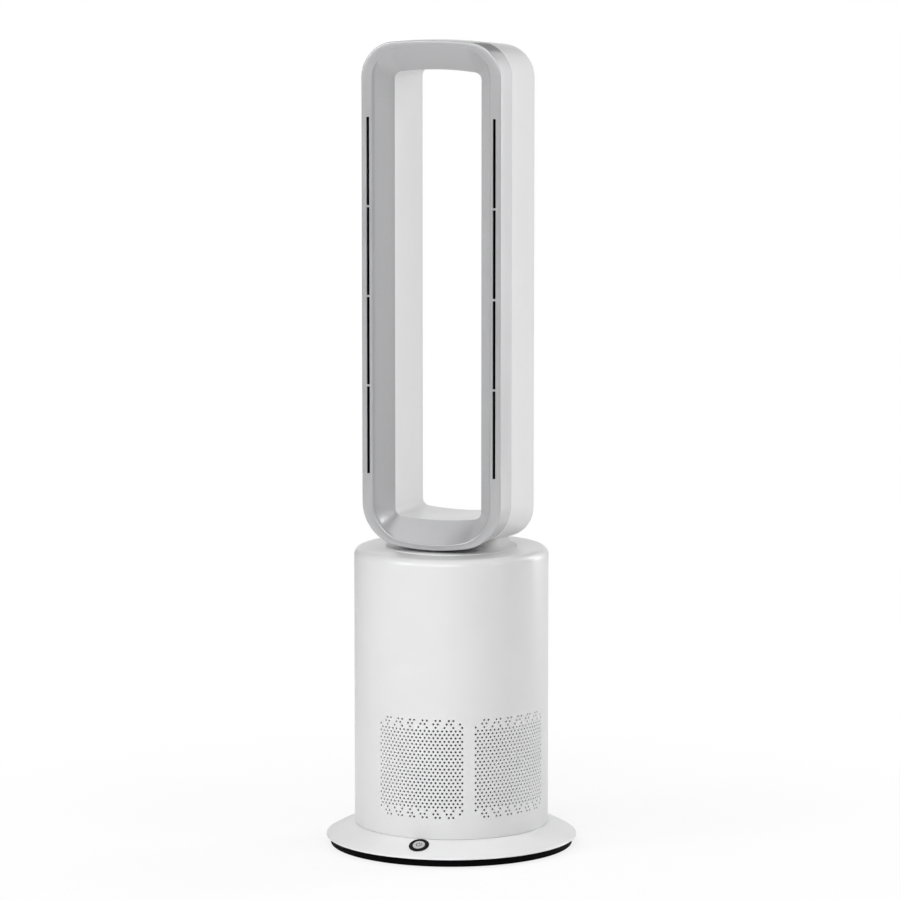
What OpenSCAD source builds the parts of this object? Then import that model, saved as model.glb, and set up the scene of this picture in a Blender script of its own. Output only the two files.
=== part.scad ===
// Bladeless tower fan. A domed base carries a round body that swings on it. The body draws
// air in through pierced panels and drives it up into a tall loop, which blows it forward
// out of slots in its two side rims. +Z is up, the front faces -Y, and the origin is the
// middle of the base at floor level.

/* [Base] */
// Radius of the domed cover
base_r = 150; // [146:1:170]
// How far the dark pan stands back from the cover's edge
pan_inset = 5.2; // [5:0.2:10]
// Height of the cover's lower edge above the floor
rim_z = 9; // [8:0.5:10]
// Height of the flat deck that the body turns on
deck_z = 27.2; // [26:0.2:32]
// Round of the cover's outer edge
rim_round = 4.5; // [3.5:0.5:5]
// Slope of the skirt beside the deck, in degrees
skirt_top_slope = 20; // [18:1:22]
// Slope of the skirt beside the rim, in degrees
skirt_low_slope = 30; // [28:1:33]
// Wall of the cover
base_wall = 2.5; // [2:0.1:3]
// Floor of the pan
pan_floor = 2.5; // [2:0.1:3]
// Height of the feet below the pan
foot_h = 1.5; // [1:0.1:2]
// Radius of one foot
foot_r = 8; // [6:0.5:9]
// Number of feet, and of screws between them
foot_count = 6; // [4:2:6]
// Thickness of the steel ballast ring
ballast_t = 4; // [3:0.5:4.5]

/* [Swing drive] */
// Radius of the hollow post that the body turns round, as a share of the body's
post_share = 0.172712; // [0.155:0.000001:0.19]
// Wall of the post
post_wall = 6; // [4:0.5:7]
// Module of the swing gears, as a share of the body's radius
module_share = 0.0129534; // [0.012:0.0000001:0.013]
// Teeth on the fixed gear
gear_teeth = 60; // [56:2:62]
// Teeth on the motor's pinion
pinion_teeth = 18; // [18:2:20]
// Thickness of both gears
gear_t = 6; // [5:0.5:7]
// Radius of the swing motor, as a share of the body's
swing_motor_share = 0.181347; // [0.155:0.000001:0.19]
// Height of the swing motor
swing_motor_h = 18; // [14:1:20]

/* [Button and inlet] */
// Radius of the round button
button_r = 7.3; // [6.9:0.2:7.9]
// Width of the ring round the button
bezel_w = 4.7; // [4.1:0.1:4.9]
// Distance of the button's middle from the cover's edge
button_inset = 20.2; // [18:0.1:23]
// Turn of the button round the base from the front, in degrees
button_turn = 2.6; // [0:0.1:5]
// Travel of the button
button_travel = 0.8; // [0.5:0.1:1]
// Width of the block that holds the power inlet
inlet_w = 20; // [16:1:26]
// Radius of the power inlet's hole
inlet_r = 3.2; // [2.8:0.1:3.5]

/* [Body] */
// How far the body stands back from the edge of the base
body_inset = 34.2; // [33:0.2:36]
// Height of the body
body_h = 331.4; // [325:1:340]
// Wall of the body
body_wall = 2.5; // [2:0.1:3]
// Round of the body's upper edge
body_round = 9; // [6:0.5:12]
// Round of the body's lower edge
heel_round = 1.2; // [0.6:0.2:1.6]

/* [Intake panels] */
// Radius of one hole
hole_r = 1.1; // [0.8:0.05:1.25]
// Angle between the columns of holes
hole_step = 2.6; // [2.55:0.05:2.7]
// Height between the rows of holes, as a share of the body's height
row_share = 0.012462; // [0.0115:0.000001:0.0127]
// Columns of holes on the wide rows
hole_columns = 21; // [15:2:21]
// Full rows of holes
hole_rows = 23; // [15:2:23]
// Height of the middle of the panels in the body, as a share of the body's height
panel_share = 0.25166; // [0.247:0.00001:0.257]
// Margin of plain wall round the holes
panel_margin = 2.2; // [1.8:0.1:2.4]

/* [Blower] */
// Radius of the impeller at its outlet, as a share of the body's
impeller_share = 0.656304; // [0.605:0.000001:0.665]
// Radius of the impeller at its eye, as a share of the body's
eye_share = 0.552677; // [0.5:0.000001:0.56]
// Height of the impeller's blades
impeller_h = 44; // [38:1:46]
// Blades of the impeller
blade_count = 9; // [7:1:11]
// Vanes of the stator
vane_count = 11; // [7:2:13]
// Radius of the fan motor, as a share of the body's
motor_share = 0.367012; // [0.33:0.000001:0.38]
// Height of the fan motor
motor_h = 38; // [32:1:40]
// Radius of the motor's shaft
shaft_r = 4; // [3:0.5:4]

/* [Loop] */
// Outer width of the loop
loop_w = 172.7; // [168:0.5:174]
// Outer height of the loop
loop_h = 599.7; // [420:1:640]
// Distance of the loop's front face before the body's axis
loop_front = 71.6; // [69:0.2:73]
// Distance of the loop's back face behind the body's axis
loop_back = 57; // [52:1:60]
// Depth of the front frame at its outer side
frame_depth = 39.3; // [36:0.1:42]
// Gap between the body's top and the lowest point of the loop
loop_gap = 3; // [2.5:0.1:4]
// Corner radius of the outer outline
loop_corner = 42; // [36:1:46]
// Rise of the crowned top and bottom edges
loop_crown = 2; // [1:0.5:3]
// Width of the front rim at the sides
rim_side = 13.5; // [13:0.1:15]
// Width of the front rim at the top and bottom
rim_end = 7; // [6.5:0.1:9]
// Corner radius of the rim's inner edge
rim_corner = 36; // [30:1:40]
// Inset of the throat from the outer width
throat_side = 32.5; // [30:0.5:34]
// Inset of the throat from the outer height
throat_end = 34.4; // [32:0.2:37]
// Corner radius of the throat
throat_corner = 9; // [7:0.5:14]
// Depth of the funnel from the front face to the throat
funnel_depth = 25; // [22:0.5:28]
// Wall of the loop's shells
loop_wall = 2.2; // [1.8:0.1:2.4]
// How much lower the top of the loop is at the back
back_taper = 5.5; // [3:0.5:7]

/* [Slots] */
// Width of the air slots
slot_w = 3.5; // [2.6:0.1:4]
// Length of each row of slots
slot_run = 420; // [300:10:420]
// Slots in each row
slot_count = 4; // [2:1:6]
// Width of the bridges between the slots
bridge_w = 2.4; // [2:0.1:4]
// Distance of a slot's middle line from the loop's side
slot_inset = 8.1; // [7.6:0.1:8.4]

/* [Hidden] */
$fn = 96;

// Clearances
over = 1;
quarter_turn = 90;
seat = 0.2;
run_gap = 0.3;
fit_gap = 0.05;

// Colours
white = [0.9, 0.9, 0.9];
silver = [0.7, 0.7, 0.71];
black = [0.06, 0.06, 0.065];
steel = [0.6, 0.62, 0.64];
board_green = [0.1, 0.35, 0.22];

// Base
pan_r = base_r - pan_inset;
body_r = base_r - body_inset;
pan_z = foot_h;
floor_z = pan_z + pan_floor;
pan_wall = 2.5;
pan_lip_t = 1.7;
pan_lip_gap = 0.9;
rim_drop = 0.6;
arc_steps = 8;
rim_c = [base_r - rim_round, rim_z + rim_drop];
skirt_r = (deck_z - rim_c[1] - rim_round * cos(skirt_low_slope))
  / (cos(skirt_top_slope) - cos(skirt_low_slope));
skirt_c = rim_c + (rim_round - skirt_r) * [sin(skirt_low_slope), cos(skirt_low_slope)];
foot_inset = 16.8;
foot_ring = pan_r - foot_inset;
foot_recess = 1.3;
foot_side_gap = 0.25;
boss_inset = 20.3;
boss_ring = pan_r - boss_inset;
boss_r = 4;
pad_r = 7;
pad_h = 2.4;
screw_r = 1.5;
screw_pilot_r = 1.55;
screw_len = 14;
screw_head_r = 3;
screw_head_h = 2;
head_gap = 0.4;
drive_r = 1.1;
drive_depth = 1.2;
ballast_inset = 27.8;
ballast_out = pan_r - ballast_inset;

// Swing drive
post_r = body_r * post_share;
swing_motor_r = body_r * swing_motor_share;
gear_module = body_r * module_share;
gear_r = gear_module * gear_teeth / 2;
ballast_gap = 7;
ballast_in = gear_r + ballast_gap;
pinion_r = gear_module * pinion_teeth / 2;
tooth_up_share = 1;
tooth_down_share = 1.25;
pressure_angle = 20;
backlash = 0.1;
flank_steps = 3;
gear_reach = gear_r + pinion_r + fit_gap;
gear_z = 13;
gear_rim = 11;
gear_bore = gear_r - gear_rim;
gear_seat_w = 3;
pedestal_inset = 5;
pedestal_r = gear_r - pedestal_inset;
post_flange_gap = 7;
post_flange_r = gear_bore - post_flange_gap;
post_flange_t = 3;
hub_wall = 7;
hub_h = 18;
ring_t = 2.4;
ring_groove = 1.5;
ring_out = 5;
post_top = 3;
deck_hole_r = gear_reach + pinion_r + 2 * gear_module;
slide_gap = 8.95;
slide_w = 12;
slide_in = deck_hole_r + slide_gap;
slide_out = slide_in + slide_w;
slide_t = 1.8;
slide_groove = 1.3;
turn_z = deck_z - slide_groove + slide_t + seat;
turn_t = 4;
turn_top = turn_z + turn_t;
motor_pad_h = 2.3;
motor_pad_extra = 2;
pinion_shaft_r = 3;
pinion_shaft_in = 10;
pinion_shaft_bore_gap = 1;
ear_gap = 6;
ear_reach = swing_motor_r + ear_gap;
ear_r = 4.5;
ear_t = 1.6;

// Button
bezel_rise = 0.9;
bezel_depth = 5;
bezel_flange = 0.7;
button_rise = 1.3;
button_cap_t = 4.2;
button_dome = 0.5;
stem_r = 3;
stem_h = 4.2;
switch_w = 6;
switch_h = 3.5;
plunger_r = 1.6;
plunger_h = 0.8;
button_board_t = 1.6;
button_board_w = 42;
button_board_d = 18;
button_boss_x = 17;
button_place = base_r - button_inset;
button_slope = asin((button_place - skirt_c[0]) / skirt_r);
button_z = skirt_c[1] + skirt_r * cos(button_slope);
stem_low = button_rise - button_cap_t - stem_h;
switch_top = stem_low - button_travel - fit_gap * 2;
button_board_top = switch_top - plunger_h - switch_h;

// Inlet
inlet_inset = 5.8;
inlet_len = 13;
inlet_front = pan_r - inlet_inset;
inlet_back = inlet_front - inlet_len;
inlet_high = 17;
inlet_bore = 9.5;
inlet_pin_r = 1;
inlet_pin_back = 0.8;

// Body
body_z = turn_z;
body_top = body_z + body_h;
body_plate = 3;
body_in = body_r - body_wall;
post_inset = 4.7;
post_ring = body_in - post_inset;
casing_post_r = 3.8;
casing_post_h = 14;
casing_post_count = 4;
casing_post_angle = 45;
casing_screw_len = 14;
turn_edge_gap = 0.3;

// Intake panels
panel_turns = [0, 60, 180, 240];
panel_z = body_z + body_h * panel_share;
row_step = body_h * row_share;
facet = hole_step / 2;
panel_half = hole_columns / 2 * hole_step + facet / 2;
crown_rows = 3;
panel_half_h = ((hole_rows - 1) / 2 + crown_rows) * row_step + hole_r + panel_margin;
panel_low = panel_z - panel_half_h;
panel_high = panel_z + panel_half_h;
panel_gap = 0.12;
panel_gap_angle = 0.06;
flange_t = 1.2;
flange_up = 2.2;
panel_skin = 3;
hole_facets = 16;
crown_skip = 3;

// Filter
filter_inset = 9.9;
filter_out = body_in - filter_inset;
filter_room = filter_out - gear_reach - swing_motor_r;
filter_room_share = 0.394;
filter_in = filter_out - filter_room * filter_room_share;
filter_wall = 1.2;
pleats = 60;
frame_ring_t = 3;
frame_gap = 0.8;
frame_room_share = 0.478;
frame_ring_in = filter_out - filter_room * frame_room_share;
frame_ring_out = filter_out + frame_gap;
frame_bar_share = 0.7;
frame_bar_t = (filter_in - frame_ring_in) * frame_bar_share;
frame_bar_angle = 5;
frame_bars = 6;

// Blower
impeller_r = body_r * impeller_share;
eye_r = body_r * eye_share;
motor_r = body_r * motor_share;
plate_share = 0.4481;
plate_z = body_z + body_h * plate_share;
plate_t = 2.6;
mouth_bend_share = 0.0513;
mouth_bend = body_h * mouth_bend_share;
mouth_gap = 3;
mouth_r = eye_r + mouth_gap;
mouth_wall = 2.2;
ledge_h = 8;
ledge_in = 4;
ledge_w = 10;
ledge_turns = [100, 120, 140, 280, 300, 320];
gasket_t = 3;
shroud_wall = 2.5;
tip_gap = 2;
tip_wall = 1;
duct_r = impeller_r + tip_gap + tip_wall;
flange_room = body_in - duct_r;
gasket_in_share = 0.233;
gasket_out_share = 0.466;
gasket_in = duct_r + flange_room * gasket_in_share;
gasket_out = duct_r + flange_room * gasket_out_share;
nut_room = 4;
impeller_z = plate_z + plate_t + mouth_bend + nut_room;
shroud_z = plate_z + plate_t + gasket_t + 2 * seat;
flange_in_share = 0.175;
flange_out_share = 0.525;
shroud_flange_in = duct_r + flange_room * flange_in_share;
shroud_flange_out = duct_r + flange_room * flange_out_share;
shroud_flange_t = 2.6;
shroud_rise = 12;
shroud_top = impeller_z + impeller_h + shroud_rise;
shroud_foot_inset = 5;
shroud_foot_r = duct_r - shroud_foot_inset;
hub_low_share = 0.263158;
hub_low_r = impeller_r * hub_low_share;
hub_high_share = 0.657895;
hub_high_r = impeller_r * hub_high_share;
hub_collar_r = 9;
hub_plate_t = 2.4;
blade_t = 1.8;
blade_angle = 66;
blade_steps = 8;
cup_gap = 4;
cup_z = impeller_z + impeller_h + cup_gap;
cup_floor = 3;
cup_wall = 2.5;
cup_clear = 0.5;
cup_in = motor_r + cup_clear;
stator_z = shroud_top + run_gap;
stator_share = 0.1328;
stator_h = body_h * stator_share;
vane_t = 1.6;
vane_margin = 8;
vane_h = stator_h - vane_margin;
vane_low = 4;
vane_angle = 60;
bearing_r = 11;
bearing_h = 7;
bearing_seat = 1.5;
nut_af_r = 6.5;
nut_h = 6;
cap_rise = 16;
cap_steps = 8;
fin_count = 16;
fin_w = 2;
fin_facets = 24;
shaft_top_gap = 1;
shaft_low = 9;

// Neck
neck_y = 5;
collar_inset = 44.7;
collar_w = loop_w - collar_inset;
neck_inset = 36;
neck_w = collar_w - neck_inset;
neck_d = 66;
neck_r = 18;
neck_wall = 2.4;
collar_d = 90;
collar_r = 26;
collar_rise = 12;
duct_flange = 7;
duct_flange_t = 2.5;
duct_plate = 1;
neck_gasket_t = 2.8;
loop_screw_inset = 6;
loop_screw_x = collar_w / 2 - loop_screw_inset;
loop_screw_y = 24;
loop_screw_r = 2;
loop_screw_len = 20;
clamp_top = 17;
shell_facets = 32;
neck_facets = 48;
duct_facets = 64;

// Loop
loop_low = body_top + loop_gap;
loop_high = loop_low + loop_h;
crown_points = 4;
corner_points = 10;
front_y = -loop_front;
seam_y = front_y + frame_depth;
throat_y = front_y + funnel_depth;
seam_gap = 0.25;
front_round = 1.5;
round_share = 0.3;
edge_round = 0.8;
back_round = 7;
lip_round = 10;
back_in_side = 1;
round_steps = 4;
throat_crown = 3;
back_corner = 40;
slot_len = (slot_run - (slot_count - 1) * bridge_w) / slot_count;
strip_w = 7.4;
strip_depth = 6;
strip_over = 10;
strip_slot = 2.4;
strip_back = 0.25;

// Boards
main_w_share = 0.690846;
main_w = body_r * main_w_share;
main_h = 62;
main_t = 1.6;
main_y_share = 0.500863;
main_y = body_r * main_y_share;
rail_share = 0.75;
rail_w = main_w * rail_share;
rail_t = 6;
rail_h = 10;
rail_groove = 5;
cap_can_r = 8;
cap_can_h = 18;
sink_w = 26;
sink_h = 22;
sink_d = 12;
sink_fins = 5;
sink_fin_w = 2;
relay_w = 18;
relay_h = 14;
relay_d = 12;
main_parts_share = [0.28, 0.3, 0.72, 0.68];

// Points on a circle in a plane, from one angle to the other
function arc(c, r, a0, a1, steps) =
  [for (i = [0:steps]) let (a = a0 + (a1 - a0) * i / steps) c + r * [cos(a), sin(a)]];

// Points of the skirt's section, moved inwards by a wall
function skirt(inset) = concat(
  arc(skirt_c, skirt_r - inset, quarter_turn - skirt_top_slope, quarter_turn - skirt_low_slope, arc_steps),
  arc(rim_c, rim_round - inset, quarter_turn - skirt_low_slope, 0, arc_steps));

function reversed(v) = [for (i = [len(v) - 1:-1:0]) v[i]];

// A band round the axis with flat facets, one to each half step of the holes
function facet_arc(r, half) =
  let (n = ceil(2 * half / facet - fit_gap))
  [for (i = [0:n]) let (a = -quarter_turn - half + 2 * half * i / n) r * [cos(a), sin(a)]];

// Half angle of an involute tooth at a radius
function involute_turn(a) = tan(a) * 180 / PI - a;
function tooth_half(teeth, r) =
  let (pitch_r = gear_module * teeth / 2, base_circle = pitch_r * cos(pressure_angle))
  quarter_turn / teeth - backlash / pitch_r * quarter_turn / PI + involute_turn(pressure_angle)
    - involute_turn(acos(min(1, base_circle / r)));

// Outline of an involute gear
function gear_outline(teeth) =
  let (
    pitch_r = gear_module * teeth / 2,
    tip_r = pitch_r + gear_module * tooth_up_share,
    root_r = pitch_r - gear_module * tooth_down_share,
    flank_r = max(root_r + fit_gap, pitch_r * cos(pressure_angle)),
    radii = [for (i = [0:flank_steps]) flank_r + (tip_r - flank_r) * i / flank_steps],
    flank = concat([[root_r, tooth_half(teeth, flank_r)]], [for (r = radii) [r, tooth_half(teeth, r)]])
  )
  [for (k = [0:teeth - 1]) each concat(
    [for (p = flank) p[0] * [cos(360 * k / teeth - p[1]), sin(360 * k / teeth - p[1])]],
    [for (p = reversed(flank)) p[0] * [cos(360 * k / teeth + p[1]), sin(360 * k / teeth + p[1])]])];

// A curved blade seen from above: an arc from the inner to the outer radius
function blade_outline(r0, r1, bow, t) =
  let (line = [for (i = [0:blade_steps]) let (k = i / blade_steps)
    [r0 + (r1 - r0) * k, bow * k * (1 - k / 2)]])
  concat(
    [for (p = line) p[0] * [cos(p[1]), sin(p[1])] + t / 2 * [sin(p[1]), -cos(p[1])]],
    [for (p = reversed(line)) p[0] * [cos(p[1]), sin(p[1])] - t / 2 * [sin(p[1]), -cos(p[1])]]);

// One section of the loop, as [depth, inset at the sides, inset at the ends, corner, crown]
function quarter(s) =
  let (
    half_w = loop_w / 2 - s[1],
    top = loop_h / 2 - s[2],
    lean = atan(2 * s[4] / (half_w - s[3])),
    end_x = half_w - s[3] + s[3] * sin(lean),
    mid_z = top - s[4] - s[3] * cos(lean)
  )
  concat(
    [for (i = [0:crown_points - 1]) let (x = end_x * i / crown_points)
      [x, top - s[4] * pow(i / crown_points, 2)]],
    [for (i = [0:corner_points]) let (a = (quarter_turn - lean) * (1 - i / corner_points))
      [half_w - s[3] + s[3] * cos(a), mid_z + s[3] * sin(a)]]);
function section(s) =
  let (q = quarter(s), n = len(q), mid = (loop_low + loop_high) / 2)
  concat(
    [for (i = [0:n - 1]) [q[i][0], s[0], mid + q[i][1]]],
    [for (i = [n - 1:-1:0]) [q[i][0], s[0], mid - q[i][1]]],
    [for (i = [1:n - 1]) [-q[i][0], s[0], mid - q[i][1]]],
    [for (i = [n - 1:-1:1]) [-q[i][0], s[0], mid + q[i][1]]]);

// Wall lines of the funnel's hidden side
funnel_run = funnel_depth - edge_round;
side_wall = loop_wall * norm([funnel_run, throat_side - rim_side]) / funnel_run;
end_wall = loop_wall * norm([funnel_run, throat_end - rim_end]) / funnel_run;
skin_y = front_y + loop_wall;
skin_share = (loop_wall - edge_round) / funnel_run;
skin_side = rim_side + (throat_side - rim_side) * skin_share - side_wall;
skin_end = rim_end + (throat_end - rim_end) * skin_share - end_wall;

front_sections = [
  [seam_y, 0, 0, loop_corner, loop_crown],
  [front_y + front_round, 0, 0, loop_corner, loop_crown],
  [front_y + front_round * round_share, front_round * round_share, front_round * round_share,
    loop_corner, loop_crown],
  [front_y, front_round, front_round, loop_corner - front_round, loop_crown],
  [front_y, rim_side - edge_round, rim_end - edge_round, rim_corner + edge_round, loop_crown],
  [front_y + edge_round * round_share, rim_side - edge_round * round_share,
    rim_end - edge_round * round_share, rim_corner, loop_crown],
  [front_y + edge_round, rim_side, rim_end, rim_corner, loop_crown],
  [front_y + (edge_round + funnel_depth) / 2, (rim_side + throat_side) / 2,
    (rim_end + throat_end) / 2, (rim_corner + throat_corner) / 2, (loop_crown + throat_crown) / 2],
  [throat_y, throat_side, throat_end, throat_corner, throat_crown],
  [throat_y, throat_side - side_wall, throat_end - end_wall, throat_corner + side_wall, throat_crown],
  [skin_y, skin_side, skin_end, rim_corner, loop_crown],
  [skin_y, loop_wall, loop_wall, loop_corner - loop_wall, loop_crown],
  [seam_y, loop_wall, loop_wall, loop_corner - loop_wall, loop_crown]
];

back_y = loop_back;
back_end = back_taper;
rear_sections = concat(
  [[seam_y + seam_gap, 0, 0, loop_corner, loop_crown]],
  [for (i = [0:round_steps]) let (a = quarter_turn * i / round_steps)
    [back_y - back_round + back_round * sin(a), back_in_side + back_round * (1 - cos(a)),
      back_end + back_round * (1 - cos(a)), back_corner - back_round * (1 - cos(a)), loop_crown]],
  [for (i = [0:round_steps]) let (a = quarter_turn * i / round_steps)
    [back_y - lip_round + lip_round * cos(a), throat_side - lip_round * (1 - sin(a)),
      throat_end - lip_round * (1 - sin(a)), throat_corner + lip_round * (1 - sin(a)), throat_crown]],
  [[throat_y + seam_gap, throat_side, throat_end, throat_corner, throat_crown]],
  [[throat_y + seam_gap, throat_side - loop_wall, throat_end - loop_wall,
    throat_corner + loop_wall, throat_crown]],
  [[back_y - lip_round, throat_side - loop_wall, throat_end - loop_wall,
    throat_corner + loop_wall, throat_crown]],
  [[back_y - loop_wall, throat_side - lip_round, throat_end - lip_round,
    throat_corner + lip_round, throat_crown]],
  [[back_y - loop_wall, back_in_side + back_round, back_end + back_round,
    back_corner - back_round, loop_crown]],
  [[back_y - back_round, back_in_side + loop_wall, back_end + loop_wall,
    back_corner - loop_wall, loop_crown]],
  [[seam_y + seam_gap, loop_wall, loop_wall, loop_corner - loop_wall, loop_crown]]);

// A ring lofted through closed sections
module loft(sections) {
  n = len(section(sections[0]));
  m = len(sections);
  polyhedron(
    points = [for (s = sections) each section(s)],
    faces = [for (i = [0:m - 1], j = [0:n - 1])
      let (a = i * n + j, b = i * n + (j + 1) % n, c = (i + 1) % m * n + (j + 1) % n, d = (i + 1) % m * n + j)
      each [[a, b, c], [a, c, d]]],
    convexity = 8);
}

// The solid form within the loop's outer skin, from its front face to its back edge
module loop_form(inset) {
  rings = [
    section([front_y + front_round, inset, inset, loop_corner - inset, loop_crown]),
    section([seam_y, inset, inset, loop_corner - inset, loop_crown]),
    section([back_y - back_round, back_in_side + inset, back_end + inset, back_corner - inset, loop_crown])
  ];
  n = len(rings[0]);
  m = len(rings);
  polyhedron(
    points = [for (ring = rings) each ring],
    faces = concat(
      [for (i = [0:m - 2], j = [0:n - 1]) let (k = (j + 1) % n, a = i * n, b = a + n)
        each [[a + j, b + k, a + k], [a + j, b + j, b + k]]],
      [[for (j = [0:n - 1]) j], [for (j = [n - 1:-1:0]) (m - 1) * n + j]]),
    convexity = 2);
}

// A flat rectangle with round corners
module rounded(w, d, r) {
  square([w - 2 * r, d], center = true);
  square([w, d - 2 * r], center = true);
  for (x = [-1, 1], y = [-1, 1]) translate([x * (w / 2 - r), y * (d / 2 - r)]) circle(r);
}

// The neck's opening, grown by a margin
module neck_outline(grow) {
  rounded(neck_w + 2 * grow, neck_d + 2 * grow, neck_r + grow);
}

// A flat band of facets round the axis, centred on the front
module facet_band(r0, r1, half, z0, z1) {
  translate([0, 0, z0])
    linear_extrude(height = z1 - z0)
      polygon(concat(facet_arc(r1, half), reversed(facet_arc(r0, half))));
}

// A ring round the axis
module tube(r0, r1, z0, z1) {
  translate([0, 0, z0])
    difference() {
      cylinder(h = z1 - z0, r = r1);
      translate([0, 0, -over]) cylinder(h = z1 - z0 + 2 * over, r = r0);
    }
}

// Children repeated round the axis
module around(count, r, turn = 0) {
  for (i = [0:count - 1]) rotate([0, 0, turn + 360 * i / count]) translate([r, 0, 0]) children();
}

// A screw with its head at the bottom and a cross drive in it
module screw(r, len, head_r, head_h) {
  difference() {
    union() {
      cylinder(h = head_h, r = head_r);
      translate([0, 0, head_h - fit_gap]) cylinder(h = len, r = r);
    }
    translate([0, 0, -over]) cylinder(h = over + drive_depth, r = drive_r, $fn = 6);
  }
}

module dome(inset, low) {
  rotate_extrude() polygon(concat([[0, deck_z - inset]], skirt(inset), [[base_r - inset, low], [0, low]]));
}

module on_skirt() {
  rotate([0, 0, button_turn]) translate([0, -button_place, button_z]) rotate([button_slope, 0, 0]) children();
}

module base_pan() {
  color(black) difference() {
    union() {
      translate([0, 0, pan_z]) cylinder(h = pan_floor, r = pan_r);
      tube(pan_r - pan_wall, pan_r, pan_z, rim_z + pan_lip_t);
      tube(pan_r - pan_wall, base_r - base_wall - pan_lip_gap, rim_z + seat, rim_z + seat + pan_lip_t);
      around(foot_count, boss_ring) translate([0, 0, pan_z]) cylinder(h = pan_floor + pad_h, r = pad_r);
      around(foot_count, foot_ring, 180 / foot_count)
        translate([0, 0, pan_z]) cylinder(h = pan_floor + foot_recess, r = foot_r + 1.5 * foot_recess);
      tube(gear_bore - gear_seat_w, pedestal_r, floor_z - fit_gap, gear_z - fit_gap);
      tube(gear_bore - gear_seat_w, gear_bore - fit_gap, floor_z - fit_gap, gear_z + gear_t / 2);
    }
    around(foot_count, boss_ring) {
      translate([0, 0, pan_z - over])
        cylinder(h = over + screw_head_h + head_gap, r = screw_head_r + head_gap);
      cylinder(h = deck_z, r = screw_r + head_gap / 2);
    }
    around(foot_count, foot_ring, 180 / foot_count)
      translate([0, 0, pan_z - over]) cylinder(h = over + foot_recess, r = foot_r + foot_side_gap);
    translate([-inlet_w / 2 - run_gap, inlet_back - run_gap, floor_z + fit_gap])
      cube([inlet_w + 2 * run_gap, base_r, deck_z]);
  }
}

module rubber_feet() {
  color(black) around(foot_count, foot_ring, 180 / foot_count) rotate_extrude()
    polygon([[0, 0], [foot_r - foot_h / 2, 0], [foot_r, foot_h / 2],
      [foot_r, foot_h + foot_recess - seat / 2],
      [0, foot_h + foot_recess - seat / 2]]);
}

module ballast_ring() {
  color(steel) tube(ballast_in, ballast_out, floor_z + seat, floor_z + seat + ballast_t);
}

module base_cover() {
  color(white) difference() {
    union() {
      difference() {
        dome(0, rim_z);
        dome(base_wall, rim_z - over);
      }
      intersection() {
        dome(base_wall / 2, rim_z - over);
        union() {
          around(foot_count, boss_ring)
            translate([0, 0, floor_z + pad_h + seat]) cylinder(h = deck_z, r = boss_r);
          on_skirt() for (x = [-1, 1]) translate([x * button_boss_x, 0, button_board_top + seat])
            cylinder(h = -button_board_top, r = stem_r);
        }
      }
    }
    cylinder(h = 2 * deck_z, r = deck_hole_r);
    tube(slide_in - seat, slide_out + seat, deck_z - slide_groove, deck_z + over);
    around(foot_count, boss_ring) cylinder(h = floor_z + screw_len + head_gap, r = screw_pilot_r);
    on_skirt() translate([0, 0, -2 * base_wall])
      cylinder(h = 4 * base_wall, r = button_r + bezel_w - bezel_flange);
    translate([-inlet_w / 2 - run_gap, inlet_back - run_gap, 0])
      cube([inlet_w + 2 * run_gap, base_r, inlet_high + run_gap]);
  }
}

module base_screws() {
  color(steel) around(foot_count, boss_ring)
    translate([0, 0, pan_z + head_gap / 2]) screw(screw_r, screw_len, screw_head_r, screw_head_h);
}

post_high = turn_z + hub_h + seat + ring_t + post_top;

module pivot_post() {
  color(white) difference() {
    union() {
      translate([0, 0, floor_z + seat / 2]) cylinder(h = post_flange_t, r = post_flange_r);
      translate([0, 0, floor_z + seat / 2]) cylinder(h = post_high - floor_z, r = post_r);
    }
    cylinder(h = 2 * post_high, r = post_r - post_wall);
    tube(post_r - ring_groove, post_r + over, turn_z + hub_h + seat, turn_z + hub_h + seat + ring_t + seat);
  }
}

module retaining_ring() {
  color(steel) tube(post_r - ring_groove + fit_gap, post_r + ring_out,
    turn_z + hub_h + seat * 1.5, turn_z + hub_h + seat * 1.5 + ring_t);
}

module slide_ring() {
  color(white) tube(slide_in, slide_out, deck_z - slide_groove + fit_gap, deck_z - slide_groove + slide_t);
}

module swing_gear() {
  color(white) translate([0, 0, gear_z])
    linear_extrude(height = gear_t)
      difference() {
        polygon(gear_outline(gear_teeth));
        circle(gear_bore);
      }
}

module power_inlet() {
  color(black) difference() {
    translate([-inlet_w / 2, inlet_back, floor_z + seat])
      cube([inlet_w, inlet_front - inlet_back, inlet_high - floor_z - seat]);
    translate([0, inlet_front + over, (floor_z + inlet_high) / 2]) rotate([quarter_turn, 0, 0])
      difference() {
        cylinder(h = inlet_bore + over, r = inlet_r);
        cylinder(h = inlet_bore + 2 * over, r = inlet_pin_r);
        translate([0, 0, -over]) cylinder(h = 2 * over + inlet_pin_back, r = inlet_pin_r + fit_gap);
      }
  }
}

module button_bezel() {
  color(black) on_skirt() rotate_extrude() polygon([
    [button_r + run_gap, -bezel_depth],
    [button_r + bezel_w - bezel_flange - fit_gap, -bezel_depth],
    [button_r + bezel_w - bezel_flange - fit_gap, fit_gap],
    [button_r + bezel_w, fit_gap],
    [button_r + bezel_w, bezel_rise / 2],
    [button_r + bezel_w - bezel_rise / 2, bezel_rise],
    [button_r + run_gap, bezel_rise]
  ]);
}

module power_button() {
  color(silver) on_skirt() {
    rotate_extrude() polygon([
      [0, button_rise - button_cap_t],
      [button_r, button_rise - button_cap_t],
      [button_r, button_rise - button_dome],
      [button_r - button_dome, button_rise],
      [0, button_rise]
    ]);
    translate([0, 0, stem_low]) cylinder(h = stem_h + fit_gap, r = stem_r);
  }
}

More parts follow.
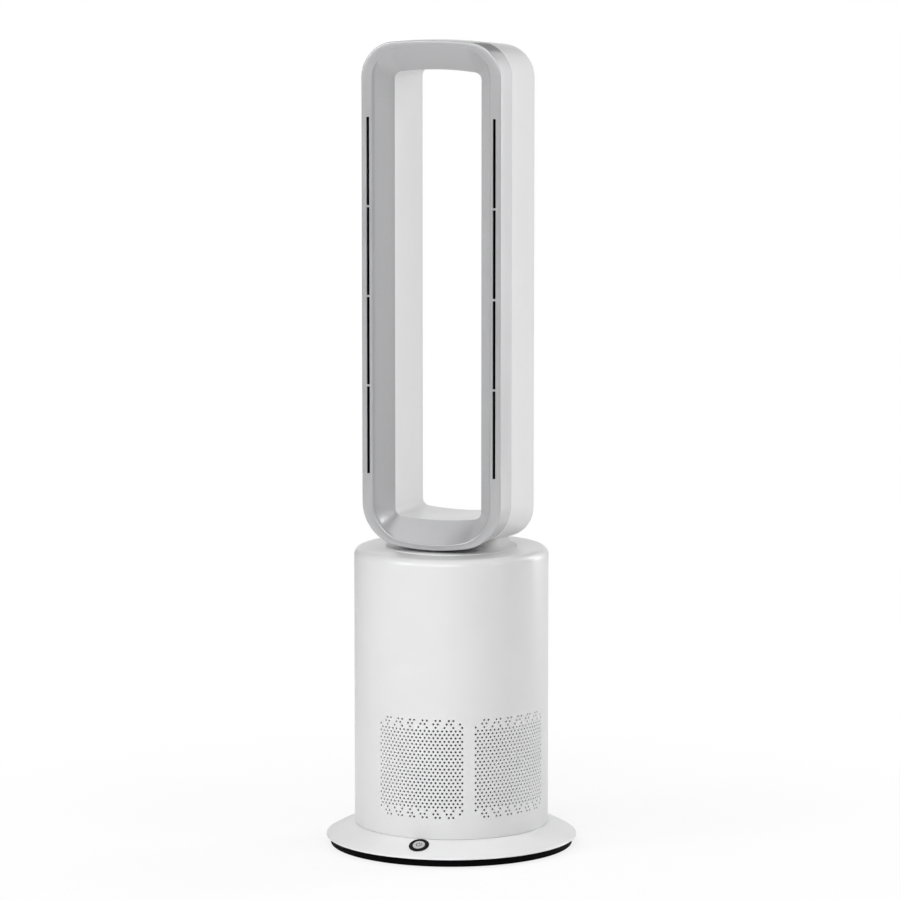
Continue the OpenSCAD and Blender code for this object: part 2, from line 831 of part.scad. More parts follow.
module button_board() {
  color(board_green) on_skirt() {
    translate([0, 0, button_board_top - button_board_t / 2])
      cube([button_board_w, button_board_d, button_board_t], center = true);
    translate([0, 0, button_board_top + switch_h / 2 - fit_gap])
      cube([switch_w, switch_w, switch_h], center = true);
    translate([0, 0, switch_top - plunger_h - fit_gap * 2])
      cylinder(h = plunger_h + fit_gap * 2, r = plunger_r);
  }
}

module swing_pinion() {
  color(white) translate([gear_reach, 0, gear_z]) {
    rotate([0, 0, 180 / pinion_teeth]) linear_extrude(height = gear_t) polygon(gear_outline(pinion_teeth));
    cylinder(h = turn_top + motor_pad_h + pinion_shaft_in - gear_z, r = pinion_shaft_r);
  }
}

module swing_motor() {
  motor_low = turn_top + motor_pad_h + seat;
  color(steel) translate([gear_reach, 0, motor_low])
    difference() {
      union() {
        rotate_extrude() polygon([
          [0, 0], [swing_motor_r, 0], [swing_motor_r, swing_motor_h - ear_t],
          [swing_motor_r - ear_t, swing_motor_h], [0, swing_motor_h]
        ]);
        linear_extrude(height = ear_t) {
          square([2 * ear_r, 2 * ear_reach], center = true);
          for (y = [-1, 1]) translate([0, y * ear_reach]) circle(ear_r);
        }
      }
      translate([0, 0, -over]) cylinder(h = over + pinion_shaft_in + run_gap, r = pinion_shaft_r + fit_gap);
      for (y = [-1, 1]) translate([0, y * ear_reach, -over])
        cylinder(h = ear_t + 2 * over, r = screw_r + head_gap / 2);
    }
}

module turntable() {
  color(white) difference() {
    union() {
      translate([0, 0, turn_z]) cylinder(h = turn_t, r = body_in - turn_edge_gap);
      translate([0, 0, turn_z]) cylinder(h = hub_h, r = post_r + hub_wall);
      translate([gear_reach, 0, turn_top - fit_gap])
        cylinder(h = motor_pad_h + fit_gap, r = swing_motor_r + motor_pad_extra);
      translate([gear_reach, 0, turn_top - fit_gap])
        for (y = [-1, 1]) translate([0, y * ear_reach, 0]) cylinder(h = motor_pad_h + fit_gap, r = ear_r);
      translate([-rail_w / 2, main_y - rail_t / 2, turn_top - fit_gap]) cube([rail_w, rail_t, rail_h]);
    }
    translate([0, 0, turn_z - over]) cylinder(h = hub_h + 2 * over, r = post_r + fit_gap);
    translate([gear_reach, 0, turn_z - over])
      cylinder(h = turn_t + motor_pad_h + 2 * over, r = pinion_shaft_r + pinion_shaft_bore_gap);
    around(casing_post_count, post_ring, casing_post_angle) {
      translate([0, 0, turn_z - over])
        cylinder(h = over + screw_head_h + head_gap, r = screw_head_r + head_gap);
      cylinder(h = 2 * turn_top, r = screw_r + head_gap / 2);
    }
    translate([-rail_w, main_y - main_t / 2 - fit_gap * 2, turn_top + rail_h - rail_groove])
      cube([2 * rail_w, main_t + fit_gap * 4, rail_h]);
  }
}

module casing_screws() {
  color(steel) around(casing_post_count, post_ring, casing_post_angle)
    translate([0, 0, turn_z + head_gap / 2]) screw(screw_r, casing_screw_len, screw_head_r, screw_head_h);
}

// The body's outer or inner form: a drum with a rounded upper edge
module drum(r, top, round, heel) {
  rotate_extrude() polygon(concat(
    [[0, body_z + (heel > 0 ? 0 : -over)], [r - heel, body_z + (heel > 0 ? 0 : -over)]],
    heel > 0 ? arc([r - heel, body_z + heel], heel, -quarter_turn, 0, round_steps) : [[r, body_z]],
    arc([r - round, top - round], round, 0, quarter_turn, arc_steps), [[0, top]]));
}

module body_casing() {
  color(white) difference() {
    union() {
      difference() {
        drum(body_r, body_top, body_round, heel_round);
        drum(body_in, body_top - body_plate, body_round - body_wall, 0);
      }
      intersection() {
        drum(body_r - body_wall / 2, body_top, body_round, heel_round);
        union() {
          around(casing_post_count, post_ring, casing_post_angle) translate([0, 0, turn_top + seat]) {
            cylinder(h = casing_post_h, r = casing_post_r);
            translate([0, -casing_post_r / 2, 0]) cube([body_r - post_ring, casing_post_r, casing_post_h]);
          }
          for (turn = ledge_turns) rotate([0, 0, turn - 90])
            translate([body_in - ledge_in, -ledge_w / 2, plate_z - seat - ledge_h])
              cube([body_r - body_in + ledge_in, ledge_w, ledge_h]);
        }
      }
    }
    for (turn = panel_turns) rotate([0, 0, turn])
      facet_band(body_in - over, body_r + over, panel_half, panel_low, panel_high);
    around(casing_post_count, post_ring, casing_post_angle)
      translate([0, 0, turn_z - over]) cylinder(h = turn_t + over + casing_screw_len, r = screw_pilot_r);
    translate([0, neck_y, body_top - 2 * body_plate]) linear_extrude(height = 3 * body_plate)
      neck_outline(0);
    for (x = [-1, 1], y = [-1, 1])
      translate([x * loop_screw_x, neck_y + y * loop_screw_y, body_top - 2 * body_plate])
        cylinder(h = 3 * body_plate, r = loop_screw_r + head_gap);
  }
}

// Whether a hole is there: rows count from the middle, columns from the right
function hole_there(row, col) =
  let (beyond = abs(row) - (hole_rows - 1) / 2)
  beyond <= 0 ? true
    : beyond == 1 ? col % 2 == 0
    : beyond == 2 ? col % crown_skip != 1
    : col > 1 && col < hole_columns - 2 && col % crown_skip != 1;

module panel_holes() {
  rows = (hole_rows - 1) / 2 + crown_rows;
  for (row = [-rows:rows]) {
    wide = (row + (hole_rows - 1) / 2) % 2 != 0;
    count = wide ? hole_columns : hole_columns - 1;
    for (col = [0:count - 1]) if (hole_there(row, col))
      rotate([0, 0, ((count - 1) / 2 - col) * hole_step])
        translate([0, -body_in + 2 * flange_t + over, panel_z + row * row_step])
          rotate([quarter_turn, 0, 0])
            cylinder(h = body_wall + 2 * flange_t + 2 * over, r = hole_r, $fn = hole_facets);
  }
}

module intake_panel(turn) {
  color(white) rotate([0, 0, turn]) difference() {
    union() {
      facet_band(body_r - panel_skin, body_r, panel_half - panel_gap_angle,
        panel_low + panel_gap, panel_high - panel_gap);
      difference() {
        facet_band(body_in - panel_gap - flange_t, body_in - panel_gap, panel_half + facet,
          panel_low - flange_up, panel_high + flange_up);
        facet_band(body_in - 2 * flange_t, body_r, panel_half - facet / 2,
          panel_low + panel_margin / 2, panel_high - panel_margin / 2);
      }
    }
    panel_holes();
  }
}

module filter_frame() {
  low = turn_top + seat;
  high = plate_z - seat;
  color(white) {
    tube(frame_ring_in, frame_ring_out, low, low + frame_ring_t);
    tube(frame_ring_in, frame_ring_out, high - frame_ring_t, high);
    for (i = [0:frame_bars - 1]) rotate([0, 0, 360 * i / frame_bars])
      translate([0, 0, low]) rotate_extrude(angle = frame_bar_angle)
        translate([frame_ring_in, 0]) square([frame_bar_t, high - low]);
  }
}

module filter_media() {
  low = turn_top + frame_ring_t + 2 * seat;
  high = plate_z - frame_ring_t - 2 * seat;
  star = [for (i = [0:2 * pleats - 1])
    let (a = 180 * i / pleats, r = i % 2 == 0 ? filter_out : filter_in + filter_wall)
    r * [cos(a), sin(a)]];
  inner = [for (i = [0:2 * pleats - 1])
    let (a = 180 * i / pleats, r = i % 2 == 0 ? filter_out - filter_wall : filter_in)
    r * [cos(a), sin(a)]];
  color(white) translate([0, 0, low]) linear_extrude(height = high - low)
    difference() {
      polygon(star);
      polygon(inner);
    }
}

module main_board() {
  low = turn_top + rail_h - rail_groove + fit_gap;
  face_y = main_y - main_t / 2 + fit_gap;
  left_x = main_w * (main_parts_share[0] - 1 / 2);
  right_x = main_w * (main_parts_share[2] - 1 / 2);
  color(board_green) {
    translate([-main_w / 2, main_y - main_t / 2, low]) cube([main_w, main_t, main_h]);
    translate([left_x, face_y, low + main_h * main_parts_share[3]])
      rotate([quarter_turn, 0, 0]) cylinder(h = cap_can_h, r = cap_can_r);
    translate([right_x - relay_w / 2, face_y - relay_d, low + main_h * main_parts_share[1] - relay_h / 2])
      cube([relay_w, relay_d, relay_h]);
    translate([right_x - sink_w / 2, face_y - sink_d, low + main_h * main_parts_share[3] - sink_h / 2])
      difference() {
        cube([sink_w, sink_d, sink_h]);
        for (i = [0:sink_fins - 2])
          translate([sink_fin_w + i * (sink_w - sink_fin_w) / (sink_fins - 1), -over, -over])
            cube([(sink_w - sink_fin_w) / (sink_fins - 1) - sink_fin_w, sink_d - sink_fin_w + over,
              sink_h + 2 * over]);
      }
  }
}

module inlet_bellmouth() {
  bend_c = [mouth_r + mouth_bend, plate_z + plate_t + mouth_bend];
  color(white) rotate_extrude() polygon(concat(
    [[body_in - turn_edge_gap, plate_z + plate_t]],
    arc(bend_c, mouth_bend, 270, 180, arc_steps),
    arc(bend_c, mouth_bend + mouth_wall, 180, 270, arc_steps),
    [[body_in - turn_edge_gap, plate_z]]));
}

module shroud_gasket() {
  color(black) tube(gasket_in, gasket_out, plate_z + plate_t + seat, plate_z + plate_t + seat + gasket_t);
}

module fan_shroud() {
  cone_low = impeller_z - 1.5 * tip_gap;
  cone_high = impeller_z + impeller_h;
  color(white) rotate_extrude() polygon([
    [shroud_flange_out, shroud_z],
    [shroud_flange_out, shroud_z + shroud_flange_t],
    [shroud_flange_in, shroud_z + shroud_flange_t],
    [shroud_foot_r + shroud_wall, cone_low + shroud_wall],
    [duct_r + shroud_wall, cone_high],
    [duct_r + shroud_wall, shroud_top],
    [duct_r, shroud_top],
    [duct_r, cone_high],
    [eye_r + tip_gap + tip_wall, cone_low + shroud_wall],
    [eye_r + tip_gap + tip_wall, cone_low],
    [shroud_foot_r, cone_low],
    [shroud_flange_in - shroud_wall, shroud_z]
  ]);
}

module stator() {
  color(white) difference() {
    union() {
      tube(duct_r, duct_r + shroud_wall, stator_z, stator_z + stator_h);
      tube(cup_in, cup_in + cup_wall, cup_z, stator_z + stator_h);
      translate([0, 0, cup_z]) cylinder(h = cup_floor, r = cup_in + cup_wall);
      translate([0, 0, cup_z + cup_floor - fit_gap])
        cylinder(h = bearing_h - cup_floor + bearing_seat, r = bearing_r + bearing_seat);
      for (i = [0:vane_count - 1]) rotate([0, 0, 360 * i / vane_count])
        translate([0, 0, stator_z + vane_low]) linear_extrude(height = vane_h)
          polygon(blade_outline(cup_in + cup_wall / 2, duct_r + shroud_wall / 2, vane_angle / 2, vane_t));
    }
    translate([0, 0, cup_z + bearing_seat]) cylinder(h = motor_h, r = bearing_r + fit_gap);
    translate([0, 0, cup_z - over]) cylinder(h = motor_h, r = shaft_r + 2 * bearing_seat);
  }
}

motor_low = cup_z + bearing_h + bearing_seat + seat;
motor_high = motor_low + motor_h;

module fan_motor() {
  color(steel) translate([0, 0, motor_low]) difference() {
    cylinder(h = motor_h, r = motor_r);
    translate([0, 0, -over]) cylinder(h = motor_h + 2 * over, r = shaft_r + fit_gap);
    translate([0, 0, motor_h - bearing_h]) cylinder(h = bearing_h + over, r = bearing_r + fit_gap);
    around(fin_count, motor_r) translate([0, 0, -over])
      cylinder(h = motor_h - bearing_h, r = fin_w, $fn = fin_facets);
  }
}

module motor_bearings() {
  low = cup_z + bearing_seat + fit_gap;
  color(steel) {
    tube(shaft_r + fit_gap, bearing_r, low, low + bearing_h);
    tube(shaft_r + fit_gap, bearing_r, motor_high - bearing_h + fit_gap, motor_high);
  }
}

module rotor_shaft() {
  color(steel) translate([0, 0, impeller_z - shaft_low])
    cylinder(h = motor_high - impeller_z + shaft_low + shaft_top_gap, r = shaft_r);
}

module impeller() {
  color(black) difference() {
    union() {
      rotate_extrude() polygon([
        [0, impeller_z], [hub_collar_r, impeller_z], [hub_low_r, impeller_z + hub_plate_t],
        [hub_high_r, impeller_z + impeller_h - hub_plate_t], [hub_high_r, impeller_z + impeller_h],
        [hub_high_r - hub_plate_t, impeller_z + impeller_h],
        [hub_low_r - hub_plate_t, impeller_z + 2.5 * hub_plate_t],
        [hub_collar_r, impeller_z + 2.5 * hub_plate_t],
        [hub_collar_r, impeller_z + impeller_h / 2], [0, impeller_z + impeller_h / 2]
      ]);
      intersection() {
        for (i = [0:blade_count - 1]) rotate([0, 0, 360 * i / blade_count])
          translate([0, 0, impeller_z]) linear_extrude(height = impeller_h)
            polygon(blade_outline(hub_low_r, impeller_r + over, -blade_angle, blade_t));
        rotate_extrude() polygon([
          [hub_low_r - hub_plate_t / 2, impeller_z + hub_plate_t], [eye_r, impeller_z + hub_plate_t],
          [impeller_r, impeller_z + impeller_h - hub_plate_t], [impeller_r, impeller_z + impeller_h],
          [hub_high_r - hub_plate_t / 2, impeller_z + impeller_h - hub_plate_t / 2]
        ]);
      }
    }
    translate([0, 0, impeller_z - over]) cylinder(h = impeller_h + 2 * over, r = shaft_r + fit_gap / 2);
  }
}

module impeller_nut() {
  color(steel) translate([0, 0, impeller_z - nut_h - fit_gap]) difference() {
    cylinder(h = nut_h, r = nut_af_r, $fn = 6);
    translate([0, 0, -over]) cylinder(h = nut_h + 2 * over, r = shaft_r + fit_gap / 2);
  }
}

module motor_cap() {
  low = stator_z + stator_h + seat;
  r = cup_in + cup_wall;
  color(white) rotate_extrude() polygon(concat(
    [[r - cup_wall, low]],
    [for (i = [0:cap_steps]) let (a = quarter_turn * i / cap_steps) [r * cos(a), low + cap_rise * sin(a)]],
    [for (i = [cap_steps:-1:0]) let (a = quarter_turn * i / cap_steps)
      [(r - cup_wall) * cos(a), low + (cap_rise - cup_wall) * sin(a)]]));
}

duct_low = stator_z + stator_h + seat;
duct_high = body_top - body_plate - neck_gasket_t - 2 * seat;

// The transition from the round stator to the oblong neck, grown by a wall
module duct_form(grow, past) {
  hull() {
    translate([0, 0, duct_low - past]) cylinder(h = duct_plate + past, r = duct_r + grow, $fn = duct_facets);
    translate([0, neck_y, duct_high - duct_plate]) linear_extrude(height = duct_plate + past)
      neck_outline(grow - neck_wall, $fn = neck_facets);
  }
}

module air_duct() {
  color(white) difference() {
    union() {
      duct_form(shroud_wall, 0);
      translate([0, neck_y, duct_high - duct_flange_t]) linear_extrude(height = duct_flange_t)
        neck_outline(duct_flange);
    }
    duct_form(0, over);
  }
}

module neck_gasket() {
  color(black) translate([0, neck_y, duct_high + seat]) linear_extrude(height = neck_gasket_t)
    difference() {
      neck_outline(duct_flange);
      neck_outline(0);
    }
}

module neck_collar() {
  color(white) difference() {
    union() {
      difference() {
        translate([0, neck_y, body_top + seat / 2]) linear_extrude(height = loop_gap + collar_rise / 2)
          rounded(collar_w, collar_d, collar_r);
        loop_form(-seat);
      }
      translate([0, neck_y, body_top - body_plate]) linear_extrude(height = body_plate + collar_rise)
        neck_outline(-seat);
    }
    translate([0, neck_y, body_top - body_plate - over])
      linear_extrude(height = body_plate + collar_rise + 2 * over)
      neck_outline(-seat - neck_wall);
    for (x = [-1, 1], y = [-1, 1]) translate([x * loop_screw_x, neck_y + y * loop_screw_y, body_top - over])
      cylinder(h = throat_end, r = loop_screw_r + head_gap, $fn = shell_facets);
  }
}

module loop_screws() {
  color(steel) for (x = [-1, 1], y = [-1, 1])
    translate([x * loop_screw_x, neck_y + y * loop_screw_y, body_top - body_plate - screw_head_h - seat])
      screw(loop_screw_r, loop_screw_len, screw_head_r + head_gap, screw_head_h);
}

module loop_rear_shell() {
  color(white) difference() {
    loft(rear_sections);
    translate([0, neck_y, loop_low - over]) linear_extrude(height = throat_end / 2)
      neck_outline(0, $fn = shell_facets);
    for (x = [-1, 1], y = [-1, 1]) translate([x * loop_screw_x, neck_y + y * loop_screw_y, loop_low - over])
      cylinder(h = throat_end / 2, r = loop_screw_r + head_gap, $fn = shell_facets);
  }
}

// The plate inside the loop that its screws hold
module loop_clamp() {
  color(white) difference() {
    intersection() {
      loop_form(loop_wall + seat);
      translate([0, neck_y, loop_low]) linear_extrude(height = clamp_top) difference() {
        rounded(collar_w, collar_d - 2 * loop_wall, collar_r, $fn = shell_facets);
        neck_outline(0, $fn = shell_facets);
      }
    }
    for (x = [-1, 1], y = [-1, 1]) translate([x * loop_screw_x, neck_y + y * loop_screw_y, loop_low - over])
      cylinder(h = loop_screw_len, r = loop_screw_r + fit_gap, $fn = shell_facets);
  }
}

module slot_row(w, depth) {
  mid = (loop_low + loop_high) / 2;
  for (i = [0:slot_count - 1])
    translate([-w / 2, 0, mid - slot_run / 2 + i * (slot_len + bridge_w)]) cube([w, depth, slot_len]);
}

module loop_front_frame() {
  color(silver) difference() {
    loft(front_sections);
    for (x = [-1, 1]) translate([x * (loop_w / 2 - slot_inset), front_y - over, 0])
      slot_row(slot_w, over + 2 * loop_wall);
  }
}

module nozzle_strip(side) {
  mid = (loop_low + loop_high) / 2;
  run = slot_run + 2 * strip_over;
  color(black) translate([side * (loop_w / 2 - slot_inset), skin_y + strip_back, 0]) difference() {
    translate([-strip_w / 2, 0, mid - run / 2]) cube([strip_w, strip_depth, run]);
    translate([0, -over, 0]) slot_row(strip_slot, strip_depth + 2 * over);
  }
}

base_pan();
rubber_feet();
ballast_ring();
base_cover();
base_screws();
pivot_post();
retaining_ring();
slide_ring();
swing_gear();
power_inlet();
button_bezel();
button_board();
power_button();
swing_pinion();
turntable();
swing_motor();
casing_screws();
body_casing();
intake_panel(panel_turns[0]);  // intake_panel_1
intake_panel(panel_turns[1]);  // intake_panel_2
intake_panel(panel_turns[2]);  // intake_panel_3
intake_panel(panel_turns[3]);  // intake_panel_4
filter_frame();
filter_media();
main_board();
inlet_bellmouth();
shroud_gasket();
fan_shroud();
stator();
fan_motor();
motor_bearings();
rotor_shaft();
impeller();
impeller_nut();
motor_cap();
air_duct();
neck_gasket();
neck_collar();
loop_screws();
loop_clamp();
loop_rear_shell();
loop_front_frame();
nozzle_strip(-1);  // nozzle_strip_left
nozzle_strip(1);  // nozzle_strip_right
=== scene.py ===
"""Bladeless tower fan: the shaped pieces, finishes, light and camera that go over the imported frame."""

import logging
import math
from dataclasses import dataclass
from enum import Enum

import bmesh
import bpy
from mathutils import Matrix, Vector


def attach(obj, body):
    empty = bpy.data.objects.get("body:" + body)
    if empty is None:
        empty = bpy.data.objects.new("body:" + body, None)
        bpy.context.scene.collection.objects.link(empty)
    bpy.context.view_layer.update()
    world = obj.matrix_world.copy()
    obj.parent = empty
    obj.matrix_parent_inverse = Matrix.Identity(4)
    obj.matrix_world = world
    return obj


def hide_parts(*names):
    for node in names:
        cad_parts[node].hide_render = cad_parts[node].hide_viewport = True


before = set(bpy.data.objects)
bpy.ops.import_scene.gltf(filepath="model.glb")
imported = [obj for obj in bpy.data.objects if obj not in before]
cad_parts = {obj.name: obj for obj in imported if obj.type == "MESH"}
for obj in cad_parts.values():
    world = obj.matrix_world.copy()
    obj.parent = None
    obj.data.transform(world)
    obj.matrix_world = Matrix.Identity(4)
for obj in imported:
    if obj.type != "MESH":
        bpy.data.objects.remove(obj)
log = logging.getLogger("tower_fan")

MM = 0.001
Point = tuple[float, float]

# Vertices closer than this, in metres, are one
WELD = 1e-6
# Edges that turn by more than this, in degrees, stay sharp
SHARP_DEG = 30.0
# The stretch of the noise over which a finish fades from its first tone to its second
TONE_SPAN = (0.3, 0.7)
# The stretch of the noise over which its gloss changes
GLOSS_SPAN = (0.25, 0.75)
# The pattern of turned and drawn metal is squeezed along its axis
DRAWN = (1.0, 1.0, 12.0)


# Materials


def linear(hex_colour: str) -> tuple[float, float, float, float]:
    """Turns an sRGB hex value to a linear colour.

    Args:
        hex_colour: A colour such as "#ECECEC".

    Returns:
        The linear red, green, blue and alpha.
    """
    channels = [int(hex_colour[i:i + 2], 16) / 255 for i in (1, 3, 5)]
    red, green, blue = [c / 12.92 if c <= 0.04045 else ((c + 0.055) / 1.055) ** 2.4 for c in channels]
    return red, green, blue, 1.0


def add_node(
    tree: bpy.types.NodeTree, kind: str, settings: dict | None = None, links: dict | None = None
) -> bpy.types.Node:
    """Adds one node to a tree.

    Args:
        tree: The tree that gets the node.
        kind: The node's type.
        settings: Attribute names, or input names and numbers, with their values.
        links: Input names or numbers with the output sockets that feed them.

    Returns:
        The new node.
    """
    node = tree.nodes.new(kind)
    for name, value in (settings or {}).items():
        if isinstance(name, str) and hasattr(node, name):
            setattr(node, name, value)
        else:
            node.inputs[name].default_value = value
    for name, socket in (links or {}).items():
        tree.links.new(socket, node.inputs[name])
    return node


class Texture(Enum):
    """How the surface of a finish came about."""

    MOULDED = "spark eroded mould skin"
    SPRAYED = "sprayed paint with fine flake"
    TURNED = "turned or drawn metal"
    WOVEN = "laid fibres"


@dataclass(frozen=True)
class Finish:
    """A surface finish with two close tones, a varied gloss and a fine relief."""

    name: str
    tone: str
    second_tone: str
    roughness: tuple[float, float]
    grain_mm: float
    relief_mm: float
    texture: Texture = Texture.MOULDED
    metallic: float = 0.0
    ior: float = 1.5
    coat: float = 0.0
    coat_roughness: float = 0.12
    tone_mm: float = 60.0
    specular: float = 0.5

    def build(self) -> bpy.types.Material:
        """Builds the material once and returns it."""
        if self.name in bpy.data.materials:
            return bpy.data.materials[self.name]
        material = bpy.data.materials.new(self.name)
        material.use_nodes = True
        tree = material.node_tree
        shader = tree.nodes["Principled BSDF"]
        shader.inputs["Metallic"].default_value = self.metallic
        if not self.metallic:
            shader.inputs["IOR"].default_value = self.ior
        shader.inputs["Specular IOR Level"].default_value = self.specular
        shader.inputs["Coat Weight"].default_value = self.coat
        shader.inputs["Coat Roughness"].default_value = self.coat_roughness
        place = add_node(tree, "ShaderNodeTexCoord").outputs["Object"]
        stretch = DRAWN if self.texture is Texture.TURNED else (1.0, 1.0, 1.0)
        turned = add_node(tree, "ShaderNodeMapping", {"Scale": stretch}, {"Vector": place}).outputs["Vector"]
        broad = add_node(
            tree, "ShaderNodeTexNoise",
            {"Scale": 1 / (self.tone_mm * MM), "Detail": 3.0, "Roughness": 0.55}, {"Vector": place},
        ).outputs["Fac"]
        fine = self._grain(tree, turned)
        mix_source = fine if self.texture in (Texture.SPRAYED, Texture.WOVEN) else broad
        ramp = add_node(tree, "ShaderNodeValToRGB", links={"Fac": mix_source})
        first, last = ramp.color_ramp.elements
        first.position, last.position = TONE_SPAN
        first.color, last.color = linear(self.tone), linear(self.second_tone)
        tree.links.new(ramp.outputs["Color"], shader.inputs["Base Color"])
        gloss = add_node(
            tree, "ShaderNodeMapRange",
            {"From Min": GLOSS_SPAN[0], "From Max": GLOSS_SPAN[1], "To Min": self.roughness[0],
             "To Max": self.roughness[1]}, {"Value": broad},
        ).outputs["Result"]
        tree.links.new(gloss, shader.inputs["Roughness"])
        bump = add_node(
            tree, "ShaderNodeBump", {"Strength": 1.0, "Distance": self.relief_mm * MM}, {"Height": fine}
        ).outputs["Normal"]
        tree.links.new(bump, shader.inputs["Normal"])
        return material

    def _grain(self, tree: bpy.types.NodeTree, vector: bpy.types.NodeSocket) -> bpy.types.NodeSocket:
        """Adds the fine relief pattern.

        Args:
            tree: The material's tree.
            vector: The place that the pattern reads.

        Returns:
            The pattern's height.
        """
        scale = 1 / (self.grain_mm * MM)
        if self.texture is Texture.SPRAYED:
            cells = add_node(tree, "ShaderNodeTexVoronoi", {"Scale": scale}, {"Vector": vector})
            return cells.outputs["Distance"]
        if self.texture is Texture.WOVEN:
            return add_node(
                tree, "ShaderNodeTexNoise",
                {"Scale": scale, "Detail": 6.0, "Roughness": 0.7, "Distortion": 2.0}, {"Vector": vector},
            ).outputs["Fac"]
        return add_node(
            tree, "ShaderNodeTexNoise", {"Scale": scale, "Detail": 4.0, "Roughness": 0.6}, {"Vector": vector}
        ).outputs["Fac"]


# Injection moulded ABS of the body and the rear shell, from a fine satin tool: a soft sheen, hardly any grain
WHITE_ABS = Finish(
    "satin_white_abs", "#E2E2E2", "#DFDFE0", (0.3, 0.34), 0.9, 0.002, coat=0.9, coat_roughness=0.36
)
# The base's cover, with a duller sheen; its tone, whiter than the body's white ABS, is painted light that
# stands in for the light from above on its upward-facing skirt
COVER_ABS_PAINTED_TOP_LIGHT = Finish(
    "cover_abs_painted_top_light", "#F0F0F0", "#EDEDEE", (0.36, 0.4), 0.9, 0.002, coat=0.5, coat_roughness=0.4
)
# The collar, matt enough to show no lamp in its hollow flank
COLLAR_ABS = Finish("matt_white_abs", "#E2E2E2", "#DFDFE0", (0.6, 0.65), 0.9, 0.002, specular=0.15)
# The same ABS in the natural tone of parts that nobody sees
NATURAL_ABS = Finish("natural_abs", "#DBDBD6", "#D2D2CE", (0.48, 0.58), 0.7, 0.01)
# Fine silver grey lacquer on ABS: small flakes under a satin coat
SILVER_LACQUER = Finish(
    "satin_silver_lacquer", "#BFBFC0", "#B6B6B8", (0.30, 0.36), 0.5, 0.002, Texture.SPRAYED,
    metallic=0.5, coat=0.8,
)
# Matt black ABS with a slightly coarser grain
BLACK_ABS = Finish("matt_black_abs", "#070707", "#0A0A0B", (0.5, 0.6), 0.6, 0.012, specular=0.03)
# Gloss black ABS of the button
GLOSS_BLACK_ABS = Finish("gloss_black_abs", "#080808", "#0B0B0C", (0.20, 0.26), 0.8, 0.002, specular=0.1)
# Soft rubber of the feet, dull and dusty
RUBBER = Finish("moulded_rubber", "#1A1A1A", "#232323", (0.75, 0.9), 0.8, 0.02)
# Closed cell foam of the gaskets
FOAM = Finish("closed_cell_foam", "#1E1E1F", "#2B2B2C", (0.9, 0.98), 0.9, 0.12)
# Acetal: creamy white, waxy and smooth
ACETAL = Finish("turned_acetal", "#F0EEE6", "#E8E6DE", (0.28, 0.36), 1.2, 0.004)
# Zinc plated steel with a faint drawn grain
ZINC_STEEL = Finish(
    "zinc_plated_steel", "#9EA3A8", "#8A8F95", (0.28, 0.44), 0.35, 0.01, Texture.TURNED, metallic=1.0
)
# Ground bearing steel
GROUND_STEEL = Finish(
    "ground_steel", "#C6C9CD", "#B4B8BD", (0.12, 0.22), 0.25, 0.004, Texture.TURNED, metallic=1.0
)
# Pleated non-woven of the filter: laid fibres with darker hollows
NON_WOVEN = Finish("filter_non_woven", "#3C3C3D", "#2C2C2D", (0.85, 0.95), 0.6, 0.12, Texture.WOVEN)
# Solder mask over copper: a glossy green with a hint of the tracks
SOLDER_MASK = Finish("green_solder_mask", "#1D5B39", "#154A2D", (0.22, 0.34), 2.4, 0.03)
# Light grey ABS of the button's cap
GREY_ABS = Finish("satin_grey_abs", "#C6C6C6", "#BDBDBE", (0.3, 0.38), 0.8, 0.003, coat=0.1)
# Dark pad print of the sign on the button
DARK_PRINT = Finish("dark_pad_print", "#1A1A1B", "#202021", (0.4, 0.5), 0.4, 0.003)


# Mesh helpers


def new_object(name: str, bm: bmesh.types.BMesh) -> bpy.types.Object:
    """Adds an object to the scene.

    Args:
        name: The name of the object and of its mesh.
        bm: The mesh in metres, in the object's frame. It is freed.

    Returns:
        The new object.
    """
    mesh = bpy.data.meshes.new(name)
    bm.to_mesh(mesh)
    bm.free()
    made = bpy.data.objects.new(name, mesh)
    bpy.context.scene.collection.objects.link(made)
    return made


def add_piece(
    name: str, bm: bmesh.types.BMesh, finish: Finish, body: str, sharp_deg: float = SHARP_DEG
) -> bpy.types.Object:
    """Turns a bmesh to a finished piece.

    Args:
        name: The piece's name.
        bm: The mesh in metres, in the object's frame. It is freed.
        finish: The finish of the whole piece.
        body: The body that the piece rides on.
        sharp_deg: Edges that turn by more stay sharp.

    Returns:
        The new object.
    """
    for face in bm.faces:
        face.smooth = True
    piece = new_object(name, bm)
    piece.data.set_sharp_from_angle(angle=math.radians(sharp_deg))
    piece.data.materials.append(finish.build())
    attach(piece, body)
    log.info("%s: %d faces on %s", name, len(piece.data.polygons), body)
    return piece


def arc(centre: Point, radius: float, start: float, end: float, steps: int) -> list[Point]:
    """Points along a circle's arc.

    Args:
        centre: The circle's centre.
        radius: The circle's radius.
        start: The first angle in degrees.
        end: The last angle in degrees.
        steps: The number of stretches.

    Returns:
        The points, both ends included.
    """
    turns = [math.radians(start + (end - start) * i / steps) for i in range(steps + 1)]
    return [(centre[0] + radius * math.cos(t), centre[1] + radius * math.sin(t)) for t in turns]


def quarter_turn(steps: int) -> list[float]:
    """The angles of a quarter turn in equal steps, in radians."""
    return [math.radians(90 * i / steps) for i in range(steps + 1)]


